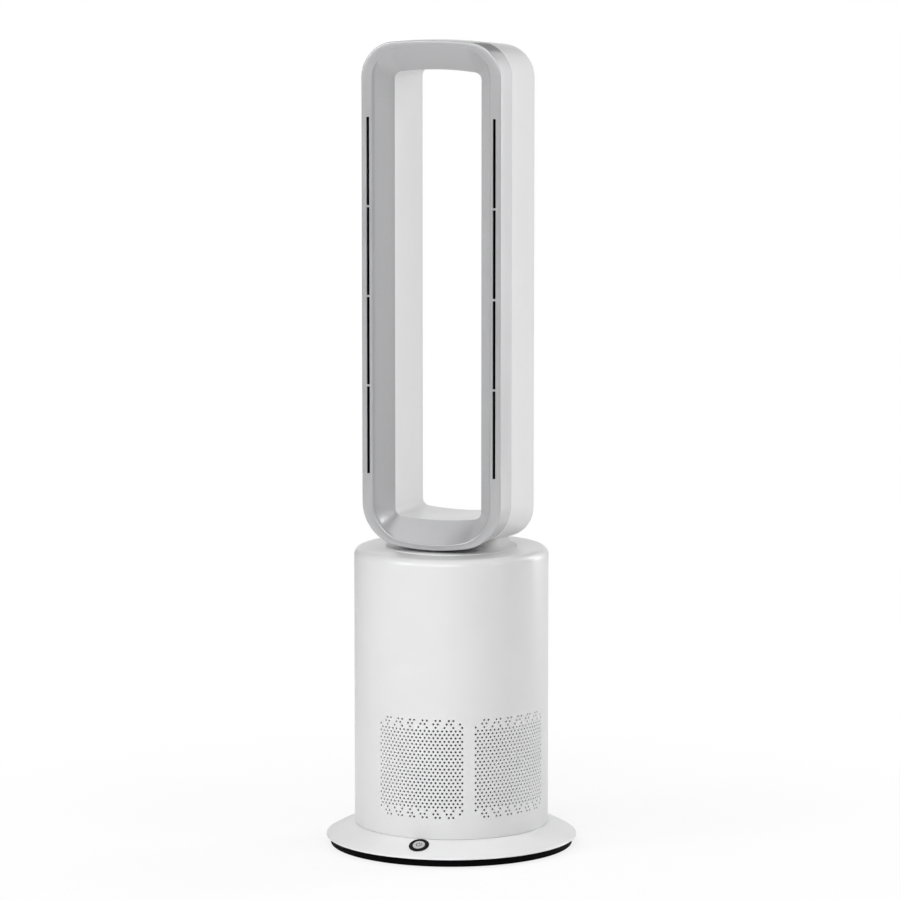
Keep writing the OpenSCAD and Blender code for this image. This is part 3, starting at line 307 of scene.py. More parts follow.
def revolve(bm: bmesh.types.BMesh, profile: list[Point], steps: int) -> None:
    """Spins a closed profile round the Z axis.

    Args:
        bm: The mesh that gets the surface.
        profile: Points as radius and height, in mm; the last one joins the first.
        steps: Steps of the full turn.
    """
    verts = [bm.verts.new((r * MM, 0, z * MM)) for r, z in profile]
    edges = [bm.edges.new(pair) for pair in zip(verts, verts[1:] + verts[:1])]
    bmesh.ops.spin(
        bm, geom=verts + edges, cent=(0, 0, 0), axis=(0, 0, 1), angle=math.tau, steps=steps,
        use_merge=True, use_duplicate=False,
    )
    bmesh.ops.remove_doubles(bm, verts=bm.verts, dist=WELD)
    bmesh.ops.recalc_face_normals(bm, faces=bm.faces)


def sweep(outlines: list[list[Vector]]) -> bmesh.types.BMesh:
    """Extrudes a closed outline through others with as many points and closes the tube on itself.

    Args:
        outlines: The outlines in metres; the last one joins the first.

    Returns:
        The closed shell.
    """
    bm = bmesh.new()
    place = bm.verts.layers.int.new("place")
    first = [bm.verts.new(point) for point in outlines[0]]
    for k, vert in enumerate(first):
        vert[place] = k
    edges = [bm.edges.new((a, b)) for a, b in zip(first, first[1:] + first[:1])]
    for outline in outlines[1:] + outlines[:1]:
        made = bmesh.ops.extrude_edge_only(bm, edges=edges)["geom"]
        for vert in made:
            if isinstance(vert, bmesh.types.BMVert):
                vert.co = outline[vert[place]]
        fresh = set(made)
        edges = [item for item in made
                 if isinstance(item, bmesh.types.BMEdge) and all(v in fresh for v in item.verts)]
    bmesh.ops.remove_doubles(bm, verts=bm.verts, dist=WELD)
    bmesh.ops.recalc_face_normals(bm, faces=bm.faces)
    return bm


def cut_away(piece: bpy.types.Object, cutter: bmesh.types.BMesh) -> None:
    """Cuts a shape out of a piece.

    Args:
        piece: The piece that is cut.
        cutter: The closed shape to take away. It is freed.
    """
    tool = new_object("cutter", cutter)
    modifier = piece.modifiers.new("cut", "BOOLEAN")
    modifier.operation, modifier.solver, modifier.object = "DIFFERENCE", "EXACT", tool
    shaped = bpy.data.meshes.new_from_object(piece.evaluated_get(bpy.context.evaluated_depsgraph_get()))
    piece.modifiers.clear()
    old, piece.data = piece.data, shaped
    shaped.name = piece.name
    bpy.data.meshes.remove(old)
    # The object goes with its mesh
    bpy.data.meshes.remove(tool.data)


# The swinging body


@dataclass
class Casing:
    """The round body with its pierced panels, in mm and degrees.

    It is laid out as a flat sheet, pierced there and then wrapped round the axis.
    """

    radius: float = 115.8
    foot_z: float = 27.45
    top_z: float = 359.3
    wall: float = 2.5
    heel_round: float = 0.2
    top_round: float = 9.0
    neck_y: float = 5.0
    neck_w: float = 92.0
    neck_d: float = 66.0
    neck_round: float = 18.0
    hole_radius: float = 1.3
    hole_step: float = 2.6
    row_step: float = 4.13
    columns: int = 21
    rows: int = 23
    crown_rows: int = 3
    panel_z: float = 111.3
    panel_turns: tuple[float, ...] = (0.0, 60.0, 180.0, 240.0)
    plain_step: float = 3.0
    heel_steps: int = 5
    top_steps: int = 12
    top_flat: float = 6.0
    heel_line: float = 40.0
    panel_margin: float = 1.0
    upper_lines: tuple[float, ...] = (200.0, 240.0, 280.0, 320.0)
    # Each cell of the sheet keeps a rim this wide round its hole
    rim_inset: float = 0.7
    weld: float = 0.02
    sharp_deg: float = 40.0
    # The neck's outline is searched out to this radius by halving
    neck_reach: float = 90.0
    neck_tries: int = 30
    # How far a vertex of the sheet may lie off the section's points
    slack: float = 1e-3

    def _turns(self) -> list[float]:
        """The angles of all columns of the mesh, in degrees from the front, over one full turn."""
        half = self.columns / 2 * self.hole_step
        lines: list[float] = []
        for k, turn in enumerate(self.panel_turns):
            count = 2 * self.columns
            lines += [turn - half + i * self.hole_step / 2 for i in range(count + 1)]
            start = turn + half
            last = k + 1 == len(self.panel_turns)
            end = (360 + self.panel_turns[0] if last else self.panel_turns[k + 1]) - half
            gaps = max(2, round((end - start) / self.plain_step))
            lines += [start + (end - start) * i / gaps for i in range(1, gaps)]
        lines.append(360 + self.panel_turns[0] - half)
        return lines

    def _run(self) -> list[tuple[float, float, float]]:
        """The section from the heel to the neck as run length, radius and height."""
        low, high = self._panel_span()
        corner = self.radius - self.top_round
        heel = (self.radius - self.heel_round, self.foot_z + self.heel_round)
        points = arc(heel, self.heel_round, -90, 0, self.heel_steps)
        points += [(self.radius, z) for z in (self.heel_line, low - self.panel_margin)]
        rows = self.rows + 2 * self.crown_rows
        points += [(self.radius, low + i * self.row_step) for i in range(rows + 1)]
        points += [(self.radius, z) for z in (high + self.panel_margin, *self.upper_lines)]
        points += arc((corner, self.top_z - self.top_round), self.top_round, 0, 90, self.top_steps)
        points += [(corner - self.top_flat, self.top_z)]
        run, total, last = [], 0.0, points[0]
        for point in points:
            total += math.dist(point, last)
            run.append((total, point[0], point[1]))
            last = point
        return run

    def _panel_span(self) -> tuple[float, float]:
        """The lower and upper end of the rows' cells."""
        half = (self.rows / 2 + self.crown_rows) * self.row_step
        return self.panel_z - half, self.panel_z + half

    def _there(self, row: int, column: int) -> bool:
        """Whether the lattice has a hole.

        Args:
            row: The row, counted from the panel's middle.
            column: The column, counted from the right.

        Returns:
            True for a hole.
        """
        beyond = abs(row) - (self.rows - 1) // 2
        # The crown's rows beyond the full ones thin out
        if beyond <= 0:
            return True
        if beyond == 1:
            return column % 2 == 0
        if beyond == 2:
            return column % 3 != 1
        return 1 < column < self.columns - 2 and column % 3 != 1

    def _cells(self) -> set[tuple[int, int]]:
        """Every hole as its half-column line, counted from the panel's left, and its row."""
        cells = set()
        reach = (self.rows - 1) // 2 + self.crown_rows
        for row in range(-reach, reach + 1):
            wide = (row + (self.rows - 1) // 2) % 2 != 0
            count = self.columns if wide else self.columns - 1
            for column in range(count):
                if self._there(row, column):
                    position = count - 1 - column
                    cells.add((2 * position + (1 if wide else 2), row + reach))
        return cells

    def _oblong(self, turn: float) -> Point:
        """The point of the neck's outline in a direction.

        Args:
            turn: The angle from the front, in radians.

        Returns:
            The point in x and y.
        """
        direction = Vector((math.sin(turn), -math.cos(turn)))
        low, high = 0.0, self.neck_reach
        for _ in range(self.neck_tries):
            reach = (low + high) / 2
            x, y = abs(direction.x * reach), abs(direction.y * reach - self.neck_y)
            dx = max(0.0, x - self.neck_w / 2 + self.neck_round)
            dy = max(0.0, y - self.neck_d / 2 + self.neck_round)
            if math.hypot(dx, dy) < self.neck_round:
                low = reach
            else:
                high = reach
        return direction.x * low, direction.y * low

    def _pierce(self, bm: bmesh.types.BMesh, grid: dict[tuple[int, int], bmesh.types.BMVert]) -> None:
        """Opens the holes in the flat sheet.

        Args:
            bm: The flat sheet.
            grid: Its vertices by column and row.
        """
        turns, run = self._turns(), self._run()
        low, half = self._panel_span()[0], self.columns / 2 * self.hole_step
        first_row = min(range(len(run)), key=lambda j: abs(run[j][2] - low) + abs(run[j][1] - self.radius))
        starts = [min(range(len(turns)), key=lambda i: abs(turns[i] - (t - half))) for t in self.panel_turns]
        seams = []
        for start in starts:
            for line, row in self._cells():
                ends = grid[start + line, first_row + row], grid[start + line, first_row + row + 1]
                seams.append(bm.edges.get(ends))
        bmesh.ops.dissolve_edges(bm, edges=seams, use_verts=False)
        cells = []
        for face in bm.faces:
            # A cell is two faces made one, with six corners
            if len(face.verts) > 4:
                xs, ys = [v.co.x for v in face.verts], [v.co.y for v in face.verts]
                cells.append((face, Vector(((min(xs) + max(xs)) / 2, (min(ys) + max(ys)) / 2, 0))))
        bmesh.ops.inset_individual(
            bm, faces=[c[0] for c in cells], thickness=self.rim_inset * MM, use_even_offset=True
        )
        rims = list({edge for face, _ in cells for edge in face.edges})
        bmesh.ops.bisect_edges(bm, edges=rims, cuts=1)
        for face, centre in cells:
            turn_of = {v: math.atan2(v.co.y - centre.y, v.co.x - centre.x) for v in face.verts}
            around = sorted(face.verts, key=lambda v: turn_of[v] % math.tau)
            east = min(range(len(around)), key=lambda k: abs(math.remainder(turn_of[around[k]], math.tau)))
            for k in range(len(around)):
                angle = math.tau * k / len(around)
                spoke = Vector((math.cos(angle), math.sin(angle), 0)) * (self.hole_radius * MM)
                around[(east + k) % len(around)].co = centre + spoke
        bmesh.ops.delete(bm, geom=[c[0] for c in cells], context="FACES_ONLY")
        log.info("casing: %d holes", len(cells))

    def _wrap(self, bm: bmesh.types.BMesh) -> None:
        """Bends the flat sheet round the axis and over the rounded edges.

        Args:
            bm: The flat sheet.
        """
        run = self._run()
        for vert in bm.verts:
            length, turn = vert.co.y / MM, vert.co.x / (self.radius * MM)
            k = max(i for i in range(len(run) - 1) if run[i][0] <= length + self.slack)
            share = min(1.0, (length - run[k][0]) / (run[k + 1][0] - run[k][0]))
            radius = run[k][1] + (run[k + 1][1] - run[k][1]) * share
            height = run[k][2] + (run[k + 1][2] - run[k][2]) * share
            vert.co = Vector((radius * math.sin(turn), -radius * math.cos(turn), height)) * MM
            if length > run[-1][0] - self.slack:
                x, y = self._oblong(turn)
                vert.co = Vector((x, y, self.top_z)) * MM

    def build(self) -> None:
        """Builds the casing as one shell with its holes."""
        turns, run = self._turns(), self._run()
        bm = bmesh.new()
        bmesh.ops.create_grid(bm, x_segments=len(turns) - 1, y_segments=len(run) - 1, size=1.0)
        grid = {}
        for vert in bm.verts:
            i = round((vert.co.x + 1) / 2 * (len(turns) - 1))
            j = round((vert.co.y + 1) / 2 * (len(run) - 1))
            vert.co = Vector((math.radians(turns[i]) * self.radius * MM, run[j][0] * MM, 0))
            grid[i, j] = vert
        self._pierce(bm, grid)
        self._wrap(bm)
        bmesh.ops.remove_doubles(bm, verts=bm.verts, dist=self.weld * MM)
        bmesh.ops.recalc_face_normals(bm, faces=bm.faces)
        outward = sum(1 if f.normal.xy.dot(f.calc_center_median().xy) > 0 else -1 for f in bm.faces)
        if outward < 0:
            bmesh.ops.reverse_faces(bm, faces=bm.faces)
        bmesh.ops.solidify(bm, geom=bm.faces[:], thickness=self.wall * MM)
        piece = add_piece("casing_shell", bm, WHITE_ABS, "tower", self.sharp_deg)
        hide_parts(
            "body_casing", "intake_panel_1", "intake_panel_2", "intake_panel_3", "intake_panel_4"
        )


# The loop


@dataclass(frozen=True)
class Foot:
    """How an outline's lower end differs from its upper end: its inset, corner and crown, in mm."""

    end: float = 0.0
    corner: float = 0.0
    crown: float = 0.0

    def part(self, share: float) -> "Foot":
        """A share of the difference, given from 0 to 1."""
        return Foot(self.end * share, self.corner * share, self.crown * share)


@dataclass(frozen=True)
class Station:
    """One closed outline of the loop, in mm.

    It has a depth, insets at the sides and ends, a corner and a crown, and a foot that says how its
    lower end differs from the upper one.
    """

    depth: float
    side: float
    end: float
    corner: float
    crown: float
    foot: Foot


@dataclass
class Loop:
    """The tall open loop with its front frame and rear shell, in mm."""

    width: float = 172.7
    low: float = 362.3
    high: float = 962.0
    front_y: float = -71.6
    seam_y: float = -32.3
    back_y: float = 57.0
    throat_y: float = -46.6
    wall: float = 2.2
    corner: float = 42.0
    crown: float = 2.0
    rim_side: float = 13.5
    rim_end: float = 7.0
    rim_corner: float = 36.0
    throat_side: float = 32.5
    throat_end: float = 34.4
    throat_corner: float = 9.0
    throat_crown: float = 3.0
    back_side: float = 0.3
    back_end: float = 5.5
    back_corner: float = 40.0
    front_foot: Foot = Foot(1.5, 10.0, 2.0)
    back_foot: Foot = Foot(-3.0, -3.0, 0.0)
    back_round: float = 7.0
    lip_round: float = 10.0
    front_round: float = 1.5
    edge_round: float = 1.3
    seam_gap: float = 0.25
    slot_width: float = 3.5
    slot_run: float = 420.0
    slot_count: int = 4
    bridge: float = 2.4
    slot_inset: float = 8.1
    crown_points: int = 8
    corner_points: int = 20
    front_steps: int = 6
    edge_steps: int = 4
    funnel_steps: int = 8
    back_steps: int = 8
    # Faces of the front wall beyond this x and taller than this are the rims that take the slots
    rim_from: float = 60.0
    rim_tall: float = 400.0
    # The round plate under the collar: radius and height of each ring
    plate_steps: tuple[Point, ...] = (
        (78.5, 359.33), (78.5, 359.9), (78.3, 360.2), (77.8, 360.4), (77.0, 360.5),
    )
    # The plate's corners are this much smaller than its radius, so that no two points of a ring meet
    plate_flat: float = 0.05
    ring_points: int = 22
    # The collar: inset and height of each ring up its hollow flank and back down inside
    collar_y: float = 5.0
    collar_half: Point = (72.0, 47.0)
    collar_corner: float = 30.0
    collar_steps: tuple[Point, ...] = (
        (0.0, 360.55), (2.0, 360.8), (4.5, 361.6), (7.0, 363.8), (9.2, 367.8), (10.4, 373.0), (10.8, 378.0),
        (13.0, 378.0), (13.0, 359.33),
    )

    def _quarter(self, station: Station, foot: Foot) -> list[Point]:
        """One quarter of an outline, from the end's middle to the side's middle.

        Args:
            station: The outline's sizes.
            foot: What is added to its inset, corner and crown.

        Returns:
            Points from the loop's middle, in x and z.
        """
        corner, crown = station.corner + foot.corner, station.crown + foot.crown
        half = self.width / 2 - station.side
        top = (self.high - self.low) / 2 - station.end - foot.end
        lean = math.atan(2 * crown / (half - corner))
        end_x = half - corner + corner * math.sin(lean)
        mid_z = top - crown - corner * math.cos(lean)
        points = [(end_x * i / self.crown_points, top - crown * (i / self.crown_points) ** 2)
                  for i in range(self.crown_points)]
        for i in range(self.corner_points + 1):
            turn = (math.pi / 2 - lean) * (1 - i / self.corner_points)
            points.append((half - corner + corner * math.cos(turn), mid_z + corner * math.sin(turn)))
        return points

    def _outline(self, station: Station) -> list[Vector]:
        """A closed outline in the object's frame, in metres.

        Args:
            station: The outline's sizes.

        Returns:
            The points, clockwise seen from the front, from the top's middle.
        """
        lower = self._quarter(station, station.foot)
        right = self._quarter(station, Foot()) + [(x, -z) for x, z in reversed(lower)]
        whole = right + [(-x, z) for x, z in reversed(right[1:-1])]
        middle = (self.low + self.high) / 2
        return [Vector((x, station.depth, middle + z)) * MM for x, z in whole]

    def _front_stations(self) -> list[Station]:
        """The outlines of the front frame, from its seam over the rim and the funnel and back inside."""
        run = self.throat_y - self.front_y - self.edge_round
        side_wall = self.wall * math.hypot(run, self.throat_side - self.rim_side) / run
        end_wall = self.wall * math.hypot(run, self.throat_end - self.rim_end) / run
        share = (self.wall - self.edge_round) / run
        skin_side = self.rim_side + (self.throat_side - self.rim_side) * share - side_wall
        skin_end = self.rim_end + (self.throat_end - self.rim_end) * share - end_wall
        foot = self.front_foot
        stations = [Station(self.seam_y, 0, 0, self.corner, self.crown, foot)]
        for turn in quarter_turn(self.front_steps):
            depth = self.front_y + self.front_round * (1 - math.sin(turn))
            inset = self.front_round * (1 - math.cos(turn))
            stations.append(Station(depth, inset, inset, self.corner - inset, self.crown, foot))
        for turn in quarter_turn(self.edge_steps):
            depth = self.front_y + self.edge_round * (1 - math.cos(turn))
            inset = self.edge_round * (1 - math.sin(turn))
            stations.append(Station(depth, self.rim_side - inset, self.rim_end - inset,
                                    self.rim_corner + inset, self.crown, foot))
        for i in range(1, self.funnel_steps + 1):
            share = i / self.funnel_steps
            stations.append(Station(
                self.front_y + self.edge_round + run * share,
                self.rim_side + (self.throat_side - self.rim_side) * share,
                self.rim_end + (self.throat_end - self.rim_end) * share,
                self.rim_corner + (self.throat_corner - self.rim_corner) * share,
                self.crown + (self.throat_crown - self.crown) * share, foot.part(1 - share)))
        stations += [
            Station(self.throat_y, self.throat_side - side_wall, self.throat_end - end_wall,
                    self.throat_corner + side_wall, self.throat_crown, Foot()),
            Station(self.front_y + self.wall, skin_side, skin_end, self.rim_corner, self.crown, foot),
            Station(self.front_y + self.wall, self.wall, self.wall, self.corner - self.wall, self.crown, foot),
            Station(self.seam_y, self.wall, self.wall, self.corner - self.wall, self.crown, foot),
        ]
        return stations

    def _rear_stations(self) -> list[Station]:
        """The outlines of the rear shell, from its seam round the back edge to the throat and back inside."""
        start = self.seam_y + self.seam_gap
        foot, plain = self.back_foot, Foot()
        stations = [Station(start, 0, 0, self.corner, self.crown, self.front_foot)]
        for turn in quarter_turn(self.back_steps):
            depth = self.back_y - self.back_round + self.back_round * math.sin(turn)
            inset = self.back_round * (1 - math.cos(turn))
            stations.append(Station(depth, self.back_side + inset, self.back_end + inset,
                                    self.back_corner - inset, self.crown, foot))
        for turn in quarter_turn(self.back_steps):
            depth = self.back_y - self.lip_round + self.lip_round * math.cos(turn)
            inset = self.lip_round * (1 - math.sin(turn))
            stations.append(Station(depth, self.throat_side - inset, self.throat_end - inset,
                                    self.throat_corner + inset, self.throat_crown, plain))
        throat = (self.throat_side, self.throat_end, self.throat_corner, self.throat_crown, plain)
        skin = (self.throat_side - self.wall, self.throat_end - self.wall, self.throat_corner + self.wall,
                self.throat_crown, plain)
        stations += [
            Station(self.throat_y + self.seam_gap, *throat),
            Station(self.throat_y + self.seam_gap, *skin),
            Station(self.back_y - self.lip_round, *skin),
            Station(self.back_y - self.wall, self.throat_side - self.lip_round,
                    self.throat_end - self.lip_round, self.throat_corner + self.lip_round, self.throat_crown,
                    plain),
            Station(self.back_y - self.wall, self.back_side + self.back_round, self.back_end + self.back_round,
                    self.back_corner - self.back_round, self.crown, foot),
            Station(self.back_y - self.back_round, self.back_side + self.wall, self.back_end + self.wall,
                    self.back_corner - self.wall, self.crown, foot),
            Station(start, self.wall, self.wall, self.corner - self.wall, self.crown, self.front_foot),
        ]
        return stations

    def _slot_spans(self) -> list[tuple[float, float]]:
        """The lower and upper end of each slot."""
        middle = (self.low + self.high) / 2
        length = (self.slot_run - (self.slot_count - 1) * self.bridge) / self.slot_count
        starts = [middle - self.slot_run / 2 + i * (length + self.bridge) for i in range(self.slot_count)]
        return [(start, start + length) for start in starts]

    def _cut_slots(self, bm: bmesh.types.BMesh, side: int) -> None:
        """Cuts the slots of one side rim through the frame's front wall.

        Args:
            bm: The front frame's shell.
            side: -1 for the left rim and 1 for the right.
        """
        centre = side * (self.width / 2 - self.slot_inset)
        cuts = [((centre + d * self.slot_width / 2) * MM, Vector((1, 0, 0))) for d in (-1, 1)]
        cuts += [(z * MM, Vector((0, 0, 1))) for span in self._slot_spans() for z in span]
        rims: list[list[bmesh.types.BMEdge]] = []
        for depth in (self.front_y * MM, (self.front_y + self.wall) * MM):
            patch = [f for f in bm.faces if all(abs(v.co.y - depth) < WELD for v in f.verts)
                     and f.calc_center_median().x * side > self.rim_from * MM
                     and max(v.co.z for v in f.verts) - min(v.co.z for v in f.verts) > self.rim_tall * MM]
            for place, normal in cuts:
                geom = list({item for f in patch for item in (*f.verts, *f.edges, f)})
                made = bmesh.ops.bisect_plane(bm, geom=geom, plane_co=normal * place, plane_no=normal)["geom"]
                patch = [item for item in made if isinstance(item, bmesh.types.BMFace)]
            inside = [f for f in patch
                      if abs(f.calc_center_median().x - centre * MM) < self.slot_width / 2 * MM
                      and any(a * MM < f.calc_center_median().z < b * MM for a, b in self._slot_spans())]
            for f in sorted(inside, key=lambda face: face.calc_center_median().z):
                rims.append(list(f.edges))
            bmesh.ops.delete(bm, geom=inside, context="FACES_ONLY")
        half = len(rims) // 2
        for outer, inner in zip(rims[:half], rims[half:]):
            bmesh.ops.bridge_loops(bm, edges=outer + inner)

    def _collar_ring(self, half: Point, corner: float, middle_y: float, height: float) -> list[Vector]:
        """One oblong or round outline of the collar, in metres.

        Args:
            half: Half its width and half its depth.
            corner: The radius of its corners.
            middle_y: Where its middle lies.
            height: Its height.

        Returns:
            The points, counterclockwise seen from above.
        """
        ring: list[Point] = []
        for k, (sx, sy) in enumerate(((1, 1), (-1, 1), (-1, -1), (1, -1))):
            centre = sx * (half[0] - corner), middle_y + sy * (half[1] - corner)
            ring += arc(centre, corner, 90 * k, 90 * k + 90, self.ring_points)
        return [Vector((x, y, height)) * MM for x, y in ring]

    def _collar(self) -> None:
        """Builds the collar that carries the loop: a low round plate with a hollow flank up to the loop."""
        rings = [self._collar_ring((radius, radius), radius - self.plate_flat, 0.0, height)
                 for radius, height in self.plate_steps]
        for inset, height in self.collar_steps:
            half = self.collar_half[0] - inset, self.collar_half[1] - inset
            rings.append(self._collar_ring(half, self.collar_corner - inset, self.collar_y, height))
        piece = add_piece("neck_ring", sweep(rings), COLLAR_ABS, "tower")
        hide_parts("neck_collar")

    def build(self) -> None:
        """Builds the front frame, the rear shell and the collar."""
        bm = sweep([self._outline(station) for station in self._front_stations()])
        for side in (-1, 1):
            self._cut_slots(bm, side)
        bmesh.ops.recalc_face_normals(bm, faces=bm.faces)
        front = add_piece("loop_frame", bm, SILVER_LACQUER, "tower")
        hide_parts("loop_front_frame")
        bm = sweep([self._outline(station) for station in self._rear_stations()])
        rear = add_piece("loop_shell", bm, WHITE_ABS, "tower")
        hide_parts("loop_rear_shell")
        self._collar()


# The base


@dataclass
class Base:
    """The domed base with its button, in mm and degrees."""

    radius: float = 150.0
    rim_z: float = 10.75
    rim_round: float = 2.5
    deck_z: float = 27.2
    wall: float = 2.2
    top_slope: float = 20.0
    low_slope: float = 30.36
    hole_radius: float = 75.05
    groove: tuple[float, float, float] = (83.8, 96.2, 1.3)
    button_place: float = 129.8
    button_turn: float = 2.6
    cover_hole: float = 11.3
    button_rise: float = 1.3
    rim_lip: float = 0.2
    rim_draft: float = 0.15
    slope_steps: int = 14
    rim_steps: int = 12
    hole_steps: int = 96
    hole_depth: float = 20.0
    inlet_size: tuple[float, float, float] = (20.6, 40.0, 22.0)
    inlet_place: tuple[float, float, float] = (0.0, 145.7, 6.3)
    sign_radius: float = 3.6
    sign_width: float = 0.9
    sign_rise: float = 0.06
    sign_gap: float = 38.0
    sign_steps: int = 48
    # The sign's bar: its length and its middle's distance, as shares of the sign's radius
    bar_share: Point = (1.05, 0.62)
    steps: int = 360

    def _slope(self) -> tuple[Point, float]:
        """The centre and the radius of the skirt's long curve, which meets the rim's rounding smoothly."""
        rim_x = self.radius - self.rim_round
        high, low = math.radians(self.top_slope), math.radians(self.low_slope)
        big = (self.deck_z - self.rim_z - self.rim_round * math.cos(low)) / (math.cos(high) - math.cos(low))
        inward = self.rim_round - big
        return (rim_x + inward * math.sin(low), self.rim_z + inward * math.cos(low)), big

    def _skirt(self, inset: float) -> list[Point]:
        """The section of the skirt, moved inwards by an inset.

        Args:
            inset: The distance inwards.

        Returns:
            Points from the deck to the rim.
        """
        rim = (self.radius - self.rim_round, self.rim_z)
        centre, big = self._slope()
        return (arc(centre, big - inset, 90 - self.top_slope, 90 - self.low_slope, self.slope_steps)
                + arc(rim, self.rim_round - inset, 90 - self.low_slope, 0, self.rim_steps)[1:])

    def _on_skirt(self) -> Matrix:
        """The turn and shift that put a shape on the skirt at the button's place."""
        centre, big = self._slope()
        slope = math.asin((self.button_place - centre[0]) / big)
        height = centre[1] + big * math.cos(slope)
        return (Matrix.Rotation(math.radians(self.button_turn), 4, "Z")
                @ Matrix.Translation(Vector((0, -self.button_place, height)) * MM)
                @ Matrix.Rotation(slope, 4, "X"))

    def _cover(self) -> None:
        """Builds the domed cover with the holes for the button and the inlet."""
        groove_in, groove_out, depth = self.groove
        low = self.rim_z - self.rim_lip
        profile = [(self.hole_radius, self.deck_z), (groove_in, self.deck_z), (groove_in, self.deck_z - depth),
                   (groove_out, self.deck_z - depth), (groove_out, self.deck_z)] + self._skirt(0)
        profile += [(self.radius - self.rim_draft, low), (self.radius - self.wall, low)]
        profile += self._skirt(self.wall)[::-1] + [(self.hole_radius, self.deck_z - self.wall)]
        bm = bmesh.new()
        revolve(bm, profile, self.steps)
        # The cover's tone, whiter than the body's, is painted light from above
        piece = add_piece("base_dome", bm, COVER_ABS_PAINTED_TOP_LIGHT, "base")
        hole = bmesh.new()
        radius = self.cover_hole * MM
        bmesh.ops.create_cone(
            hole, cap_ends=True, segments=self.hole_steps, radius1=radius, radius2=radius,
            depth=self.hole_depth * MM,
        )
        bmesh.ops.transform(hole, matrix=self._on_skirt(), verts=hole.verts)
        cut_away(piece, hole)
        notch = bmesh.new()
        bmesh.ops.create_cube(notch, size=1.0)
        bmesh.ops.scale(notch, vec=Vector(self.inlet_size) * MM, verts=notch.verts)
        bmesh.ops.translate(notch, vec=Vector(self.inlet_place) * MM, verts=notch.verts)
        cut_away(piece, notch)
        piece.data.set_sharp_from_angle(angle=math.radians(SHARP_DEG))
        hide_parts("base_cover")

    def _sign(self) -> None:
        """Builds the flat power sign that lies in the top of the button."""
        bm = bmesh.new()
        low, high = self.button_rise * MM, (self.button_rise + self.sign_rise) * MM
        inner, outer = (self.sign_radius - self.sign_width) * MM, self.sign_radius * MM
        gap = math.radians(self.sign_gap)
        verts = [bm.verts.new((r, 0, z)) for r, z in ((inner, low), (outer, low), (outer, high), (inner, high))]
        face = bm.faces.new(verts)
        bmesh.ops.rotate(bm, verts=verts, cent=(0, 0, 0), matrix=Matrix.Rotation(math.pi / 2 + gap, 3, "Z"))
        bmesh.ops.spin(bm, geom=[face, *face.verts, *face.edges], cent=(0, 0, 0), axis=(0, 0, 1),
                       angle=math.tau - 2 * gap, steps=self.sign_steps)
        bar = bmesh.ops.create_cube(bm, size=1.0)["verts"]
        length, place = (share * self.sign_radius for share in self.bar_share)
        bmesh.ops.scale(bm, vec=Vector((self.sign_width, length, self.sign_rise)) * MM, verts=bar)
        bmesh.ops.translate(bm, vec=Vector((0, place, self.button_rise + self.sign_rise / 2)) * MM, verts=bar)
        bmesh.ops.transform(bm, matrix=self._on_skirt(), verts=bm.verts)
        bmesh.ops.recalc_face_normals(bm, faces=bm.faces)
        add_piece("button_sign", bm, DARK_PRINT, "button")

    def build(self) -> None:
        """Builds the cover and the button's sign."""
        self._cover()
        self._sign()


# The frame's own nodes


@dataclass(frozen=True)
class Dressing:
    """The finishes of the nodes that are shown as they are."""

    groups: tuple[tuple[Finish, tuple[str, ...]], ...] = (
        (BLACK_ABS, ("base_pan", "power_inlet", "impeller", "nozzle_strip_left", "nozzle_strip_right")),
        (GLOSS_BLACK_ABS, ("button_bezel",)),
        (GREY_ABS, ("power_button",)),
        (NATURAL_ABS, ("turntable", "filter_frame", "inlet_bellmouth", "fan_shroud", "stator", "motor_cap",
                       "air_duct", "loop_clamp")),
        (ACETAL, ("pivot_post", "slide_ring", "swing_gear", "swing_pinion")),
        (ZINC_STEEL, ("ballast_ring", "base_screws", "retaining_ring", "swing_motor", "casing_screws",
                      "fan_motor", "impeller_nut", "loop_screws")),
        (GROUND_STEEL, ("motor_bearings", "rotor_shaft")),
        (SOLDER_MASK, ("button_board", "main_board")),
        (FOAM, ("shroud_gasket", "neck_gasket")),
        (RUBBER, ("rubber_feet",)),
        (NON_WOVEN, ("filter_media",)),
    )

    def apply(self) -> None:
        """Gives every listed node its finish."""
        for finish, names in self.groups:
            for name in names:
                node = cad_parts[name]
                node.data.materials.clear()
                node.data.materials.append(finish.build())
        log.info("dressed %d nodes", sum(len(names) for _, names in self.groups))


# Light and camera


@dataclass(frozen=True)
class Lamp:
    """A soft box that looks at the middle of the fan.

    Its turn is its angle round the fan from the front, towards +X, in degrees. Its lift over the
    floor, its reach from the axis and its width and height are in metres, and its power in watts.
    """

    name: str
    turn: float
    lift: float
    reach: float
    size: Point
    watts: float


